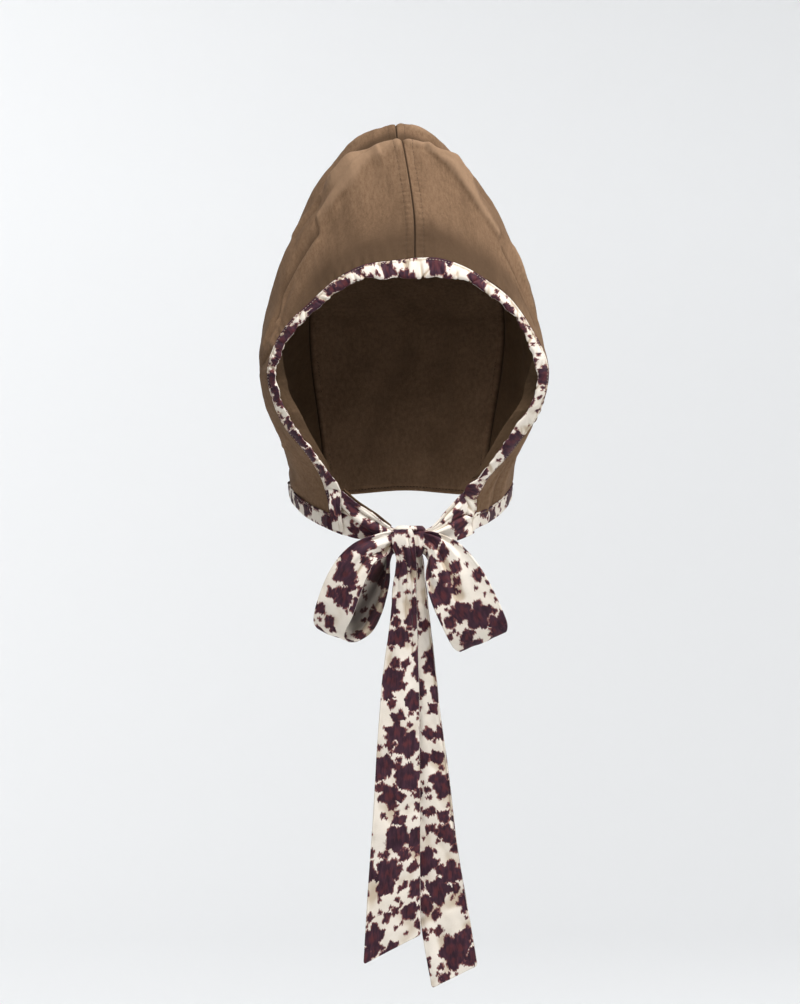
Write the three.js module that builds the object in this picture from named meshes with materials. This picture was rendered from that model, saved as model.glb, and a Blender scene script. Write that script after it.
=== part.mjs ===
// A cotton hood with a printed casing round the face, a printed neck band and printed ties.
// Millimetres, +Z up, the face opening towards -Y. Left and right are as seen from the front.
// The origin is where the top of the wearer's head touches the inside of the crown.

import * as THREE from 'three';
import { LoftGeometry } from 'three/addons/geometries/LoftGeometry.js';
import { mergeGeometries } from 'three/addons/utils/BufferGeometryUtils.js';

// Driving sizes
const CLOTH = 1.8;            // thickness of the crown and back panel
const GAP = 0.35;             // clear space that neighbouring pieces keep
const CASING_THICK = 5;       // the rolled casing, through its thickest part
const FACING_THICK = 1.4;
const FACING_CLEAR = 0.65;    // from the casing to the facing behind it
const BAND_HEIGHT = 14;
const BAND_THICK = 1.6;
const RIBBON_THICK = 1.8;     // a tie is a flattened tube of cloth
const KNOT_Y = -95;

// Where the widest level lies along a section, from the hem at 0 to the centre seam at 1
const WIDEST = 0.36;
// How far back the exact shape of the front edge still bends the crown
const EDGE_REACH = 0.34;

// Facets
const CROWN_DEPTH_STEPS = 22;
const CROWN_HEIGHT_STEPS = 24;
const PANEL_STEPS = 12;
const CASING_STEPS = 72;
const CASING_SIDES = 10;
const FACING_STEPS = 20;
const KNOT_SIDES = 18;

// One row for each section of the crown, from the face opening (0) to the back seam (1).
// top is the centre seam, left and right the widest half widths, hem the lower edge, and
// round the exponent of the curve between the widest level and the seam.
const SECTIONS = [
  { at: 0.00, topX: 9, topY: -102, topZ: -94, left: -114, right: 120, wideY: -88, wideZ: -190,
    hemLeft: -63, hemRight: 59, hemY: -76, hemZ: -317, roundLeft: 1.85, roundRight: 1.85 },
  { at: 0.20, topX: 8, topY: -82, topZ: -52, left: -121, right: 119.5, wideY: -62, wideZ: -184,
    hemLeft: -80, hemRight: 76, hemY: -46, hemZ: -309, roundLeft: 1.76, roundRight: 1.76 },
  { at: 0.40, topX: -1, topY: -46, topZ: 6.8, left: -123, right: 119, wideY: -30, wideZ: -178,
    hemLeft: -92, hemRight: 87, hemY: -22, hemZ: -299, roundLeft: 1.74, roundRight: 1.72 },
  { at: 0.51, topX: -4, topY: -25, topZ: 2, left: -121.5, right: 118.5, wideY: -8, wideZ: -174,
    hemLeft: -96, hemRight: 91, hemY: -4, hemZ: -293.5, roundLeft: 1.81, roundRight: 1.78 },
  { at: 0.66, topX: -7, topY: 8, topZ: 31, left: -116, right: 114, wideY: 23, wideZ: -168,
    hemLeft: -97, hemRight: 91, hemY: 21, hemZ: -290, roundLeft: 1.82, roundRight: 1.77 },
  { at: 0.84, topX: -4, topY: 60, topZ: 5, left: -101, right: 104, wideY: 67, wideZ: -155,
    hemLeft: -89, hemRight: 87, hemY: 57, hemZ: -289, roundLeft: 1.95, roundRight: 1.95 },
  { at: 1.00, topX: 2, topY: 97, topZ: -50, left: -85, right: 91, wideY: 97, wideZ: -135,
    hemLeft: -71, hemRight: 74, hemY: 87, hemZ: -289, roundLeft: 2.1, roundRight: 2.1 },
];

// The casing on each side, from the hem upwards: outer is its edge on the crown,
// inner its rolled edge round the face.
const EDGE_LEFT = [
  { at: 0.000, outerX: -63, outerY: -76, outerZ: -317.5, innerX: -51, innerY: -78, innerZ: -322 },
  { at: 0.045, outerX: -62.5, outerY: -76, outerZ: -303, innerX: -51.3, innerY: -79, innerZ: -307.5 },
  { at: 0.060, outerX: -63, outerY: -76.5, outerZ: -296.5, innerX: -51.5, innerY: -82, innerZ: -296 },
  { at: 0.075, outerX: -64, outerY: -76.5, outerZ: -291.5, innerX: -52, innerY: -85, innerZ: -286 },
  { at: 0.117, outerX: -69, outerY: -77.5, outerZ: -275, innerX: -63.5, innerY: -87.5, innerZ: -269.5 },
  { at: 0.175, outerX: -81.5, outerY: -79.5, outerZ: -254.5, innerX: -76, innerY: -89, innerZ: -252.5 },
  { at: 0.235, outerX: -98, outerY: -81.5, outerZ: -234.5, innerX: -92, innerY: -90.5, innerZ: -229.5 },
  { at: 0.280, outerX: -107, outerY: -84, outerZ: -217, innerX: -100, innerY: -92, innerZ: -215 },
  { at: 0.360, outerX: -113.5, outerY: -88, outerZ: -189, innerX: -106, innerY: -94.5, innerZ: -189 },
  { at: 0.460, outerX: -107, outerY: -91, outerZ: -164.5, innerX: -100.5, innerY: -97, innerZ: -171 },
  { at: 0.560, outerX: -94.5, outerY: -94.5, outerZ: -146, innerX: -88.5, innerY: -98.5, innerZ: -152 },
  { at: 0.655, outerX: -77.5, outerY: -98, outerZ: -130, innerX: -71.5, innerY: -101.5, innerZ: -136 },
  { at: 0.770, outerX: -55.5, outerY: -100.5, outerZ: -111, innerX: -48.5, innerY: -103.5, innerZ: -118.5 },
  { at: 0.860, outerX: -33, outerY: -101.5, outerZ: -99.5, innerX: -29, innerY: -105.5, innerZ: -111.5 },
  { at: 0.930, outerX: -11.5, outerY: -102, outerZ: -96.5, innerX: -10.5, innerY: -106, innerZ: -111.5 },
  { at: 1.000, outerX: 9, outerY: -102, outerZ: -94, innerX: 9, innerY: -106, innerZ: -111 },
];

const EDGE_RIGHT = [
  { at: 0.000, outerX: 59, outerY: -76, outerZ: -317.5, innerX: 55, innerY: -78, innerZ: -321 },
  { at: 0.045, outerX: 60, outerY: -76, outerZ: -306, innerX: 54, innerY: -79.5, innerZ: -308 },
  { at: 0.060, outerX: 60.5, outerY: -76.5, outerZ: -298, innerX: 51, innerY: -82, innerZ: -296 },
  { at: 0.075, outerX: 61, outerY: -76.5, outerZ: -291.5, innerX: 49, innerY: -85, innerZ: -287 },
  { at: 0.117, outerX: 71.5, outerY: -77.5, outerZ: -273.5, innerX: 64.5, innerY: -87.5, innerZ: -272 },
  { at: 0.175, outerX: 89, outerY: -79.5, outerZ: -254, innerX: 81.5, innerY: -89, innerZ: -249 },
  { at: 0.235, outerX: 107, outerY: -82, outerZ: -230, innerX: 97.5, innerY: -90.5, innerZ: -225 },
  { at: 0.280, outerX: 115, outerY: -84, outerZ: -214.5, innerX: 105.5, innerY: -92, innerZ: -214 },
  { at: 0.360, outerX: 120, outerY: -88, outerZ: -191.5, innerX: 110, innerY: -94.5, innerZ: -191.5 },
  { at: 0.460, outerX: 116, outerY: -90.5, outerZ: -171, innerX: 105.5, innerY: -97, innerZ: -173 },
  { at: 0.560, outerX: 103.5, outerY: -94.5, outerZ: -148.5, innerX: 96.5, innerY: -98.5, innerZ: -150.5 },
  { at: 0.655, outerX: 88.5, outerY: -98, outerZ: -128, innerX: 83, innerY: -101.5, innerZ: -134.5 },
  { at: 0.770, outerX: 67.5, outerY: -100.5, outerZ: -111.5, innerX: 63, innerY: -103.5, innerZ: -120.5 },
  { at: 0.860, outerX: 48.5, outerY: -101.5, outerZ: -100.5, innerX: 47, innerY: -105.5, innerZ: -112 },
  { at: 0.930, outerX: 28, outerY: -102, outerZ: -94, innerX: 26.5, innerY: -106, innerZ: -111 },
  { at: 1.000, outerX: 9, outerY: -102, outerZ: -94, innerX: 9, innerY: -106, innerZ: -111 },
];

// Free edge of the cloth facing behind each cheek's casing
const FACING_Y = -80;
const FACING_LEFT = [
  { at: 0.11, x: -59.5, z: -274 },
  { at: 0.14, x: -63, z: -264 },
  { at: 0.18, x: -70.5, z: -251 },
  { at: 0.21, x: -77.5, z: -238.5 },
  { at: 0.245, x: -84, z: -226 },
  { at: 0.295, x: -92.5, z: -210 },
  { at: 0.34, x: -97.5, z: -197 },
  { at: 0.44, x: -101.5, z: -172.5 },
];
const FACING_RIGHT = [
  { at: 0.11, x: 56, z: -276 },
  { at: 0.13, x: 63, z: -266 },
  { at: 0.17, x: 71.5, z: -251.5 },
  { at: 0.225, x: 83, z: -232 },
  { at: 0.265, x: 92.5, z: -219.5 },
  { at: 0.295, x: 97.5, z: -210 },
  { at: 0.335, x: 100.5, z: -199.5 },
  { at: 0.43, x: 106.5, z: -176 },
];

// How far the back panel bulges behind the line between its two seams
const PANEL_BULGE = [
  { at: 0.0, depth: 10 },
  { at: 0.3, depth: 15 },
  { at: 0.7, depth: 15 },
  { at: 1.0, depth: 3 },
];

const PANEL_SQUARENESS = 3;   // how flat the bulge is between the seams
const PANEL_HEM_RISE = 2;     // the hem's arc at the back
const HEM_FADE = 4;           // how soon the arc fades above the hem
// The panel keeps clear of its seams: at its sides by the inset, which is at most this share
// of its width, and at its peak by a little more
const PANEL_INSET = 0.45;
const INSET_SHARE = 0.3;
const PANEL_TOP = 0.985;

// Ribbons: a row for each fold or bend, with the two edges a and b of the ribbon, how far
// back each lies, and the height of the pleats across it.
const TIE_LEFT = [
  { at: 0.0, aX: -50.5, aY: -86, aZ: -286.5, bX: -49.8, bY: -79, bZ: -322.5, pleat: 0 },
  { at: 0.33, aX: -38, aY: -90, aZ: -296.5, bX: -39, bY: -85, bZ: -325.5, pleat: 0.4 },
  { at: 0.66, aX: -23, aY: -93, aZ: -306.5, bX: -24, bY: -90, bZ: -326.5, pleat: 1 },
  { at: 1.0, aX: -10.8, aY: -94, aZ: -316, bX: -10.8, bY: -94, bZ: -327, pleat: 1.4 },
];
const TIE_RIGHT = [
  { at: 0.0, aX: 47.8, aY: -86, aZ: -288, bX: 55.8, bY: -79, bZ: -322.5, pleat: 0 },
  { at: 0.33, aX: 37, aY: -90, aZ: -300, bX: 44, bY: -86, bZ: -327, pleat: 0.4 },
  { at: 0.66, aX: 27, aY: -93, aZ: -311.5, bX: 31.5, bY: -91, bZ: -327, pleat: 1 },
  { at: 1.0, aX: 19.1, aY: -94, aZ: -317.5, bX: 19.1, bY: -94, bZ: -327, pleat: 1.4 },
];
const LOOP_LEFT = [
  { at: 0.00, aX: -10.8, aY: -101, aZ: -319, bX: -10.8, bY: -101, bZ: -334, pleat: 1.2 },
  { at: 0.10, aX: -22.5, aY: -104, aZ: -321.5, bX: -15, bY: -104, bZ: -339.5, pleat: 1.5 },
  { at: 0.22, aX: -43, aY: -107, aZ: -330, bX: -25.5, bY: -109, bZ: -347, pleat: 1 },
  { at: 0.34, aX: -59.5, aY: -107, aZ: -348.5, bX: -34.5, bY: -111, bZ: -367.5, pleat: 0.5 },
  { at: 0.43, aX: -70, aY: -105, aZ: -372, bX: -42, bY: -109, bZ: -388.5, pleat: 0 },
  { at: 0.50, aX: -74.5, aY: -100, aZ: -392.5, bX: -49, bY: -103, bZ: -405.5, pleat: 0 },
  { at: 0.56, aX: -68, aY: -94, aZ: -400, bX: -40.5, bY: -95, bZ: -410.5, pleat: 0 },
  { at: 0.66, aX: -59, aY: -89, aZ: -383, bX: -27.5, bY: -87, bZ: -403.5, pleat: 0 },
  { at: 0.78, aX: -46, aY: -87, aZ: -362.5, bX: -17.5, bY: -85, bZ: -385, pleat: 0.5 },
  { at: 0.90, aX: -28, aY: -87, aZ: -343.5, bX: -11.5, bY: -86, bZ: -361, pleat: 0.8 },
  { at: 1.00, aX: -10.8, aY: -90, aZ: -333, bX: -10.2, bY: -90, bZ: -340, pleat: 0.5 },
];
const LOOP_RIGHT = [
  { at: 0.00, aX: 19.1, aY: -101, aZ: -319, bX: 19.1, bY: -101, bZ: -335, pleat: 1.2 },
  { at: 0.10, aX: 30, aY: -104, aZ: -321.5, bX: 20, bY: -104, bZ: -343, pleat: 1.6 },
  { at: 0.22, aX: 45.5, aY: -107, aZ: -329, bX: 18, bY: -108, bZ: -358.5, pleat: 1.6 },
  { at: 0.34, aX: 61, aY: -108, aZ: -346, bX: 22.5, bY: -110, bZ: -377, pleat: 1 },
  { at: 0.43, aX: 73.5, aY: -106, aZ: -367.5, bX: 30.5, bY: -108, bZ: -396, pleat: 0.5 },
  { at: 0.50, aX: 85, aY: -100, aZ: -394, bX: 40.5, bY: -102, bZ: -415, pleat: 0 },
  { at: 0.56, aX: 83.5, aY: -94, aZ: -401.5, bX: 46.5, bY: -95, bZ: -418, pleat: 0 },
  { at: 0.66, aX: 72.5, aY: -89, aZ: -385, bX: 39.5, bY: -88, bZ: -404, pleat: 0 },
  { at: 0.78, aX: 58, aY: -87, aZ: -363.5, bX: 30.5, bY: -86, bZ: -381, pleat: 0.5 },
  { at: 0.90, aX: 38, aY: -87, aZ: -343, bX: 24, bY: -86, bZ: -355, pleat: 0.8 },
  { at: 1.00, aX: 19.1, aY: -90, aZ: -333, bX: 18.6, bY: -90, bZ: -339.5, pleat: 0.5 },
];
const TAIL_LEFT = [
  { at: 0.00, aX: -6, aY: -98.5, aZ: -341, bX: 10.5, bY: -98.5, bZ: -341, pleat: 1.6 },
  { at: 0.06, aX: -8.5, aY: -99, aZ: -359.5, bX: 10.5, bY: -99, bZ: -359.5, pleat: 1.4 },
  { at: 0.16, aX: -11.5, aY: -99.5, aZ: -392.5, bX: 11, bY: -99, bZ: -392.5, pleat: 1 },
  { at: 0.30, aX: -18, aY: -100, aZ: -442, bX: 12.5, bY: -98.5, bZ: -442, pleat: 0.6 },
  { at: 0.46, aX: -22, aY: -101, aZ: -494, bX: 13, bY: -98.5, bZ: -494, pleat: 0.3 },
  { at: 0.65, aX: -26, aY: -101, aZ: -559, bX: 13.5, bY: -98.5, bZ: -555, pleat: 0 },
  { at: 0.83, aX: -30.5, aY: -100, aZ: -625, bX: 13.5, bY: -98.5, bZ: -611, pleat: 0 },
  { at: 1.00, aX: -33.5, aY: -99.5, aZ: -676.5, bX: 14, bY: -98.5, bZ: -652, pleat: 0 },
];
const TAIL_RIGHT = [
  { at: 0.00, aX: 1, aY: -92.5, aZ: -341, bX: 15.5, bY: -92.5, bZ: -341, pleat: 1.6 },
  { at: 0.10, aX: -1, aY: -92.5, aZ: -376, bX: 19.5, bY: -92.5, bZ: -376, pleat: 1.2 },
  { at: 0.21, aX: -1.5, aY: -92, aZ: -415.5, bX: 24, bY: -92.5, bZ: -415.5, pleat: 0.8 },
  { at: 0.37, aX: 0, aY: -91.5, aZ: -471, bX: 30.5, bY: -92.5, bZ: -471, pleat: 0.4 },
  { at: 0.51, aX: 3.5, aY: -91, aZ: -519, bX: 37, bY: -92.5, bZ: -518, pleat: 0 },
  { at: 0.70, aX: 8.5, aY: -91, aZ: -589, bX: 44.5, bY: -92, bZ: -581, pleat: 0 },
  { at: 0.86, aX: 14.5, aY: -91.5, aZ: -648, bX: 53.5, bY: -92, bZ: -634, pleat: 0 },
  { at: 1.00, aX: 23, aY: -92, aZ: -697.5, bX: 61, bY: -92, bZ: -678.5, pleat: 0 },
];
const PLEATS_ACROSS = 3;

// One row for each ribbon, with its facets along and across
const RIBBONS = [
  { name: 'tie_left', rows: TIE_LEFT, along: 8, across: 9 },
  { name: 'tie_right', rows: TIE_RIGHT, along: 8, across: 9 },
  { name: 'bow_loop_left', rows: LOOP_LEFT, along: 24, across: 6 },
  { name: 'bow_loop_right', rows: LOOP_RIGHT, along: 24, across: 6 },
  { name: 'tie_tail_left', rows: TAIL_LEFT, along: 14, across: 6 },
  { name: 'tie_tail_right', rows: TAIL_RIGHT, along: 14, across: 6 },
];

// The wrap of the bow, from its top down
const KNOT = [
  { z: -314.6, left: -5, right: 15.5, halfDepth: 5.5 },
  { z: -317.5, left: -9, right: 18, halfDepth: 9 },
  { z: -322.5, left: -10.2, right: 18.5, halfDepth: 10.5 },
  { z: -329, left: -10.2, right: 18.3, halfDepth: 10.8 },
  { z: -334.5, left: -9.2, right: 17, halfDepth: 10 },
  { z: -338.5, left: -7, right: 15, halfDepth: 8.5 },
  { z: -340.4, left: -5, right: 13, halfDepth: 6.5 },
];
const KNOT_SQUARENESS = 2.8;

// Main dents and folds of the crown: a line from (u0, v0) to (u1, v1), its half width and
// its height, which is below zero for a crease. u runs from the face to the back, v from
// the hem to the centre seam.
const FOLDS = [
  { side: 'left', u0: 0.41, v0: 1.00, u1: 0.41, v1: 0.86, width: 12, height: 2.6 },
  { side: 'right', u0: 0.41, v0: 1.00, u1: 0.41, v1: 0.86, width: 12, height: 2.6 },
  { side: 'left', u0: 0.40, v0: 0.85, u1: 0.40, v1: 0.79, width: 15, height: 6.5 },
  { side: 'right', u0: 0.40, v0: 0.85, u1: 0.40, v1: 0.80, width: 15, height: 4.5 },
  { side: 'left', u0: 0.53, v0: 1.00, u1: 0.53, v1: 0.80, width: 11, height: -2 },
  { side: 'right', u0: 0.53, v0: 1.00, u1: 0.53, v1: 0.80, width: 11, height: -2 },
  { side: 'left', u0: 0.37, v0: 0.93, u1: 0.31, v1: 0.66, width: 9, height: 2 },
  { side: 'right', u0: 0.36, v0: 0.95, u1: 0.32, v1: 0.58, width: 9, height: 2 },
  { side: 'left', u0: 0.28, v0: 0.67, u1: 0.12, v1: 0.50, width: 8, height: -2.2 },
  { side: 'right', u0: 0.30, v0: 0.65, u1: 0.20, v1: 0.55, width: 8, height: -2 },
  { side: 'left', u0: 0.05, v0: 0.40, u1: 0.30, v1: 0.35, width: 8, height: -2 },
];

const clamp01 = (value) => THREE.MathUtils.clamp(value, 0, 1);

// A smooth curve through one column of a table, by its column "at"
function column(rows, name) {
  const slopes = rows.map((row, i) => {
    const before = rows[Math.max(i - 1, 0)];
    const after = rows[Math.min(i + 1, rows.length - 1)];
    return (after[name] - before[name]) / (after.at - before.at);
  });
  return (at) => {
    let i = 0;
    while (i < rows.length - 2 && at > rows[i + 1].at) i += 1;
    const step = rows[i + 1].at - rows[i].at;
    const t = clamp01((at - rows[i].at) / step);
    const rise = rows[i + 1][name] - rows[i][name];
    const a = slopes[i] * step - rise;
    const b = rise - slopes[i + 1] * step;
    return rows[i][name] + rise * t + t * (1 - t) * (a * (1 - t) + b * t);
  };
}

function columns(rows) {
  const curves = Object.keys(rows[0]).filter((name) => name !== 'at')
    .map((name) => [name, column(rows, name)]);
  return (at) => Object.fromEntries(curves.map(([name, curve]) => [name, curve(at)]));
}

const sectionAt = columns(SECTIONS);
const edgeAt = { left: columns(EDGE_LEFT), right: columns(EDGE_RIGHT) };
const facingAt = { left: columns(FACING_LEFT), right: columns(FACING_RIGHT) };
const panelBulge = column(PANEL_BULGE, 'depth');

// A point of a section: a half cosine from the hem to the widest level, and a superellipse
// from there to the centre seam
function sectionPoint(side, u, v) {
  const row = sectionAt(u);
  const wide = row[side];
  const hem = side === 'left' ? row.hemLeft : row.hemRight;
  const round = side === 'left' ? row.roundLeft : row.roundRight;
  const yCurve = column([
    { at: 0, y: row.hemY }, { at: WIDEST, y: row.wideY }, { at: 1, y: row.topY },
  ], 'y');
  if (v < WIDEST) {
    const t = v / WIDEST;
    const x = hem + (wide - hem) * (1 + Math.cos(Math.PI * (1 - t))) / 2;
    return new THREE.Vector3(x, yCurve(v), row.hemZ + (row.wideZ - row.hemZ) * t);
  }
  const angle = (Math.PI / 2) * (v - WIDEST) / (1 - WIDEST);
  const across = Math.max(Math.cos(angle), 0);
  const up = Math.sin(angle);
  const reach = (across ** round + up ** round) ** (-1 / round);
  return new THREE.Vector3(
    row.topX + (wide - row.topX) * reach * across,
    yCurve(v),
    row.wideZ + (row.topZ - row.wideZ) * reach * up,
  );
}

function outerEdge(side, v) {
  const row = edgeAt[side](v);
  return new THREE.Vector3(row.outerX, row.outerY, row.outerZ);
}

function innerEdge(side, v) {
  const row = edgeAt[side](v);
  return new THREE.Vector3(row.innerX, row.innerY, row.innerZ);
}

// The crown before its folds: the sections, bent near the face to its exact edge
function smoothCrown(side, u, v) {
  const point = sectionPoint(side, u, v);
  const pull = clamp01(1 - u / EDGE_REACH) ** 2;
  return point.add(outerEdge(side, v).sub(sectionPoint(side, 0, v)).multiplyScalar(pull));
}

function normalOf(surface, u, v, step = 0.004) {
  const along = surface(clamp01(u + step), v).sub(surface(clamp01(u - step), v));
  const up = surface(u, clamp01(v + step)).sub(surface(u, clamp01(v - step)));
  return along.cross(up).normalize();
}

// The surface is about this deep, and this long from the hem to the seam
const SPAN = new THREE.Vector2(200, 430);

// Height of all the folds at (u, v)
function foldHeight(side, u, v) {
  let height = 0;
  for (const fold of FOLDS) {
    if (fold.side !== side) continue;
    const line = new THREE.Line3(
      new THREE.Vector3(fold.u0 * SPAN.x, fold.v0 * SPAN.y, 0),
      new THREE.Vector3(fold.u1 * SPAN.x, fold.v1 * SPAN.y, 0),
    );
    const here = new THREE.Vector3(u * SPAN.x, v * SPAN.y, 0);
    const nearest = line.closestPointToPoint(here, true, new THREE.Vector3());
    height += fold.height * Math.exp(-((here.distanceTo(nearest) / fold.width) ** 2));
  }
  return height;
}

function outward(side, u, v) {
  const normal = normalOf((a, b) => smoothCrown(side, a, b), u, v);
  if (side === 'left') normal.negate();
  // on the centre seam both halves lean the same way
  if (v > 0.999) normal.setX(0).normalize();
  return normal;
}

function crownPoint(side, u, v) {
  return smoothCrown(side, u, v).addScaledVector(outward(side, u, v), foldHeight(side, u, v));
}

// The back panel between the two back seams, s from left to right
function panelPoint(s, v) {
  const left = smoothCrown('left', 1, v);
  const right = smoothCrown('right', 1, v);
  const across = Math.abs(2 * s - 1) ** PANEL_SQUARENESS;
  const lift = PANEL_HEM_RISE * (1 - (2 * s - 1) ** 2) * (1 - v) ** HEM_FADE;
  return left.lerp(right, s).add(new THREE.Vector3(0, panelBulge(v) * (1 - across), lift));
}

function panelOutward(s, v) {
  return normalOf(panelPoint, s, v).negate();
}

// Both walls of a back seam end on one mitre plane, along this direction
function seamOutward(side, v) {
  const crown = outward(side, 1, v);
  const panel = panelOutward(side === 'left' ? 0 : 1, v);
  const mitre = crown.clone().add(panel).normalize();
  return mitre.divideScalar(mitre.dot(crown));
}

// A closed wall between two matching grids of points
function wall(outer, inner) {
  const rings = outer.map((row, i) => [...row, ...[...inner[i]].reverse()]);
  const last = outer.length - 1;
  const geometry = mergeGeometries([
    new LoftGeometry(rings),
    new LoftGeometry([inner[0], outer[0]], { closed: false }),
    new LoftGeometry([outer[last], inner[last]], { closed: false }),
  ]);
  return facingOut(geometry);
}

// A closed solid through rings that all have the same even number of points
function solid(rings) {
  const half = rings[0].length / 2;
  return wall(rings.map((ring) => ring.slice(0, half)),
    rings.map((ring) => ring.slice(half).reverse()));
}

// Turns a closed geometry so that its faces point out
function facingOut(geometry) {
  const position = geometry.getAttribute('position');
  const index = geometry.getIndex();
  const corner = (i) => new THREE.Vector3().fromBufferAttribute(position, index.getX(i));
  let volume = 0;
  for (let i = 0; i < index.count; i += 3) {
    volume += corner(i).dot(corner(i + 1).cross(corner(i + 2)));
  }
  if (volume < 0) index.array.reverse();
  return geometry;
}

// Angles all the way round, half a step off the axes
const angles = (count) => Array.from({ length: count }, (_, i) => (i + 0.5) * 2 * Math.PI / count);

const steps = (count, from = 0, to = 1) => Array.from({ length: count + 1 },
  (_, i) => from + (to - from) * i / count);

function crownHalf(side) {
  const outer = [];
  const inner = [];
  for (const u of steps(CROWN_DEPTH_STEPS)) {
    const heights = steps(CROWN_HEIGHT_STEPS);
    const shift = side === 'left' ? -GAP / 2 : GAP / 2;
    const skin = heights.map((v) => {
      const point = crownPoint(side, u, v);
      return v === 1 ? point.add(new THREE.Vector3(shift, 0, 0)) : point;
    });
    outer.push(skin);
    inner.push(heights.map((v, j) => {
      const normal = u === 1 ? seamOutward(side, v) : outward(side, u, v);
      if (v === 1) normal.setX(0);
      return skin[j].clone().addScaledVector(normal, -CLOTH);
    }));
  }
  return wall(outer, inner);
}

function backPanel() {
  const outer = [];
  const inner = [];
  for (const v of steps(CROWN_HEIGHT_STEPS, 0, PANEL_TOP)) {
    const width = panelPoint(0, v).distanceTo(panelPoint(1, v));
    const inset = Math.min(PANEL_INSET / width, INSET_SHARE);
    const across = steps(PANEL_STEPS, inset, 1 - inset);
    const skin = across.map((s) => panelPoint(s, v));
    outer.push(skin);
    inner.push(across.map((s, j) => {
      let normal = panelOutward(s, v);
      if (j === 0) normal = seamOutward('left', v);
      if (j === PANEL_STEPS) normal = seamOutward('right', v);
      return skin[j].clone().addScaledVector(normal, -CLOTH);
    }));
  }
  return wall(outer, inner);
}

// The way round the opening, from the left end of the casing over the top to the right end
const CASING_END = 0.045;
function roundOpening(count) {
  return steps(count, -1, 1).map((w) => ({
    side: w < 0 ? 'left' : 'right',
    v: 1 - Math.abs(w) * (1 - CASING_END),
  }));
}

const CASING_CLEAR = 0.8;     // from the crown's edge to the casing
const CASING_TAPER = 0.25;    // how much thinner it is on the crown's side
function frontCasing() {
  const stations = roundOpening(CASING_STEPS).map(({ side, v }) => {
    const outer = outerEdge(side, v);
    return { outer, inner: innerEdge(side, v) };
  });
  const rings = stations.map(({ outer, inner }, i) => {
    const before = stations[Math.max(i - 1, 0)];
    const after = stations[Math.min(i + 1, stations.length - 1)];
    const tangent = after.outer.clone().add(after.inner).sub(before.outer).sub(before.inner);
    const across = inner.clone().sub(outer);
    const normal = across.clone().cross(tangent).normalize();
    across.normalize();
    const from = outer.clone().addScaledVector(across, CASING_CLEAR);
    const middle = from.clone().lerp(inner, 0.5);
    const half = inner.distanceTo(from) / 2;
    return angles(CASING_SIDES).map((angle) => {
      const swell = (CASING_THICK / 2) * (1 - CASING_TAPER + CASING_TAPER * Math.cos(angle));
      return middle.clone()
        .addScaledVector(across, half * Math.cos(angle))
        .addScaledVector(normal, swell * Math.sin(angle));
    });
  });
  return solid(rings);
}

// Where the facing starts behind the casing, from its outer to its inner edge
const FACING_ROOT = 0.5;
function facing(side) {
  const rows = side === 'left' ? FACING_LEFT : FACING_RIGHT;
  const grid = steps(FACING_STEPS, rows[0].at, rows[rows.length - 1].at).map((v) => {
    const outer = outerEdge(side, v);
    const inner = innerEdge(side, v);
    const tangent = outerEdge(side, v + 0.01).sub(outerEdge(side, v - 0.01));
    const back = inner.clone().sub(outer).cross(tangent).normalize();
    if (back.y < 0) back.negate();
    const clear = (CASING_THICK + FACING_THICK) / 2 + FACING_CLEAR;
    const root = outer.lerp(inner, FACING_ROOT).addScaledVector(back, clear);
    const free = facingAt[side](v);
    return [root, new THREE.Vector3(free.x, FACING_Y, free.z)];
  });
  return thicken(grid, FACING_THICK, 2);
}

// Gives a grid of points a thickness, half to each side, after adding columns across it
function thicken(grid, thickness, across) {
  const rows = grid.map(([a, b]) => steps(across).map((s) => a.clone().lerp(b, s)));
  return thickenGrid(rows, thickness);
}

function thickenGrid(rows, thickness) {
  const normals = rows.map((row, i) => row.map((_, j) => {
    const along = rows[Math.min(i + 1, rows.length - 1)][j].clone().sub(rows[Math.max(i - 1, 0)][j]);
    const over = row[Math.min(j + 1, row.length - 1)].clone().sub(row[Math.max(j - 1, 0)]);
    return along.cross(over).normalize();
  }));
  const shifted = (amount) => rows.map((row, i) => row.map(
    (point, j) => point.clone().addScaledVector(normals[i][j], amount)));
  return wall(shifted(thickness / 2), shifted(-thickness / 2));
}

function ribbon(rows, along, across) {
  const at = columns(rows);
  const grid = steps(along).map((t) => {
    const row = at(t);
    const a = new THREE.Vector3(row.aX, row.aY, row.aZ);
    const b = new THREE.Vector3(row.bX, row.bY, row.bZ);
    return steps(across).map((s) => a.clone().lerp(b, s)
      .add(new THREE.Vector3(0, row.pleat * Math.sin(s * PLEATS_ACROSS * Math.PI), 0)));
  });
  return thickenGrid(grid, RIBBON_THICK);
}

// One row of the band, from the foot of a wall to the band's height on it. The wall is measured
// over its lowest stretch.
const LOWEST = 0.05;
function bandRow(wallPoint, normal) {
  const foot = wallPoint(0);
  const share = LOWEST * BAND_HEIGHT / foot.distanceTo(wallPoint(LOWEST));
  return { foot, top: wallPoint(share), normal };
}

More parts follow.
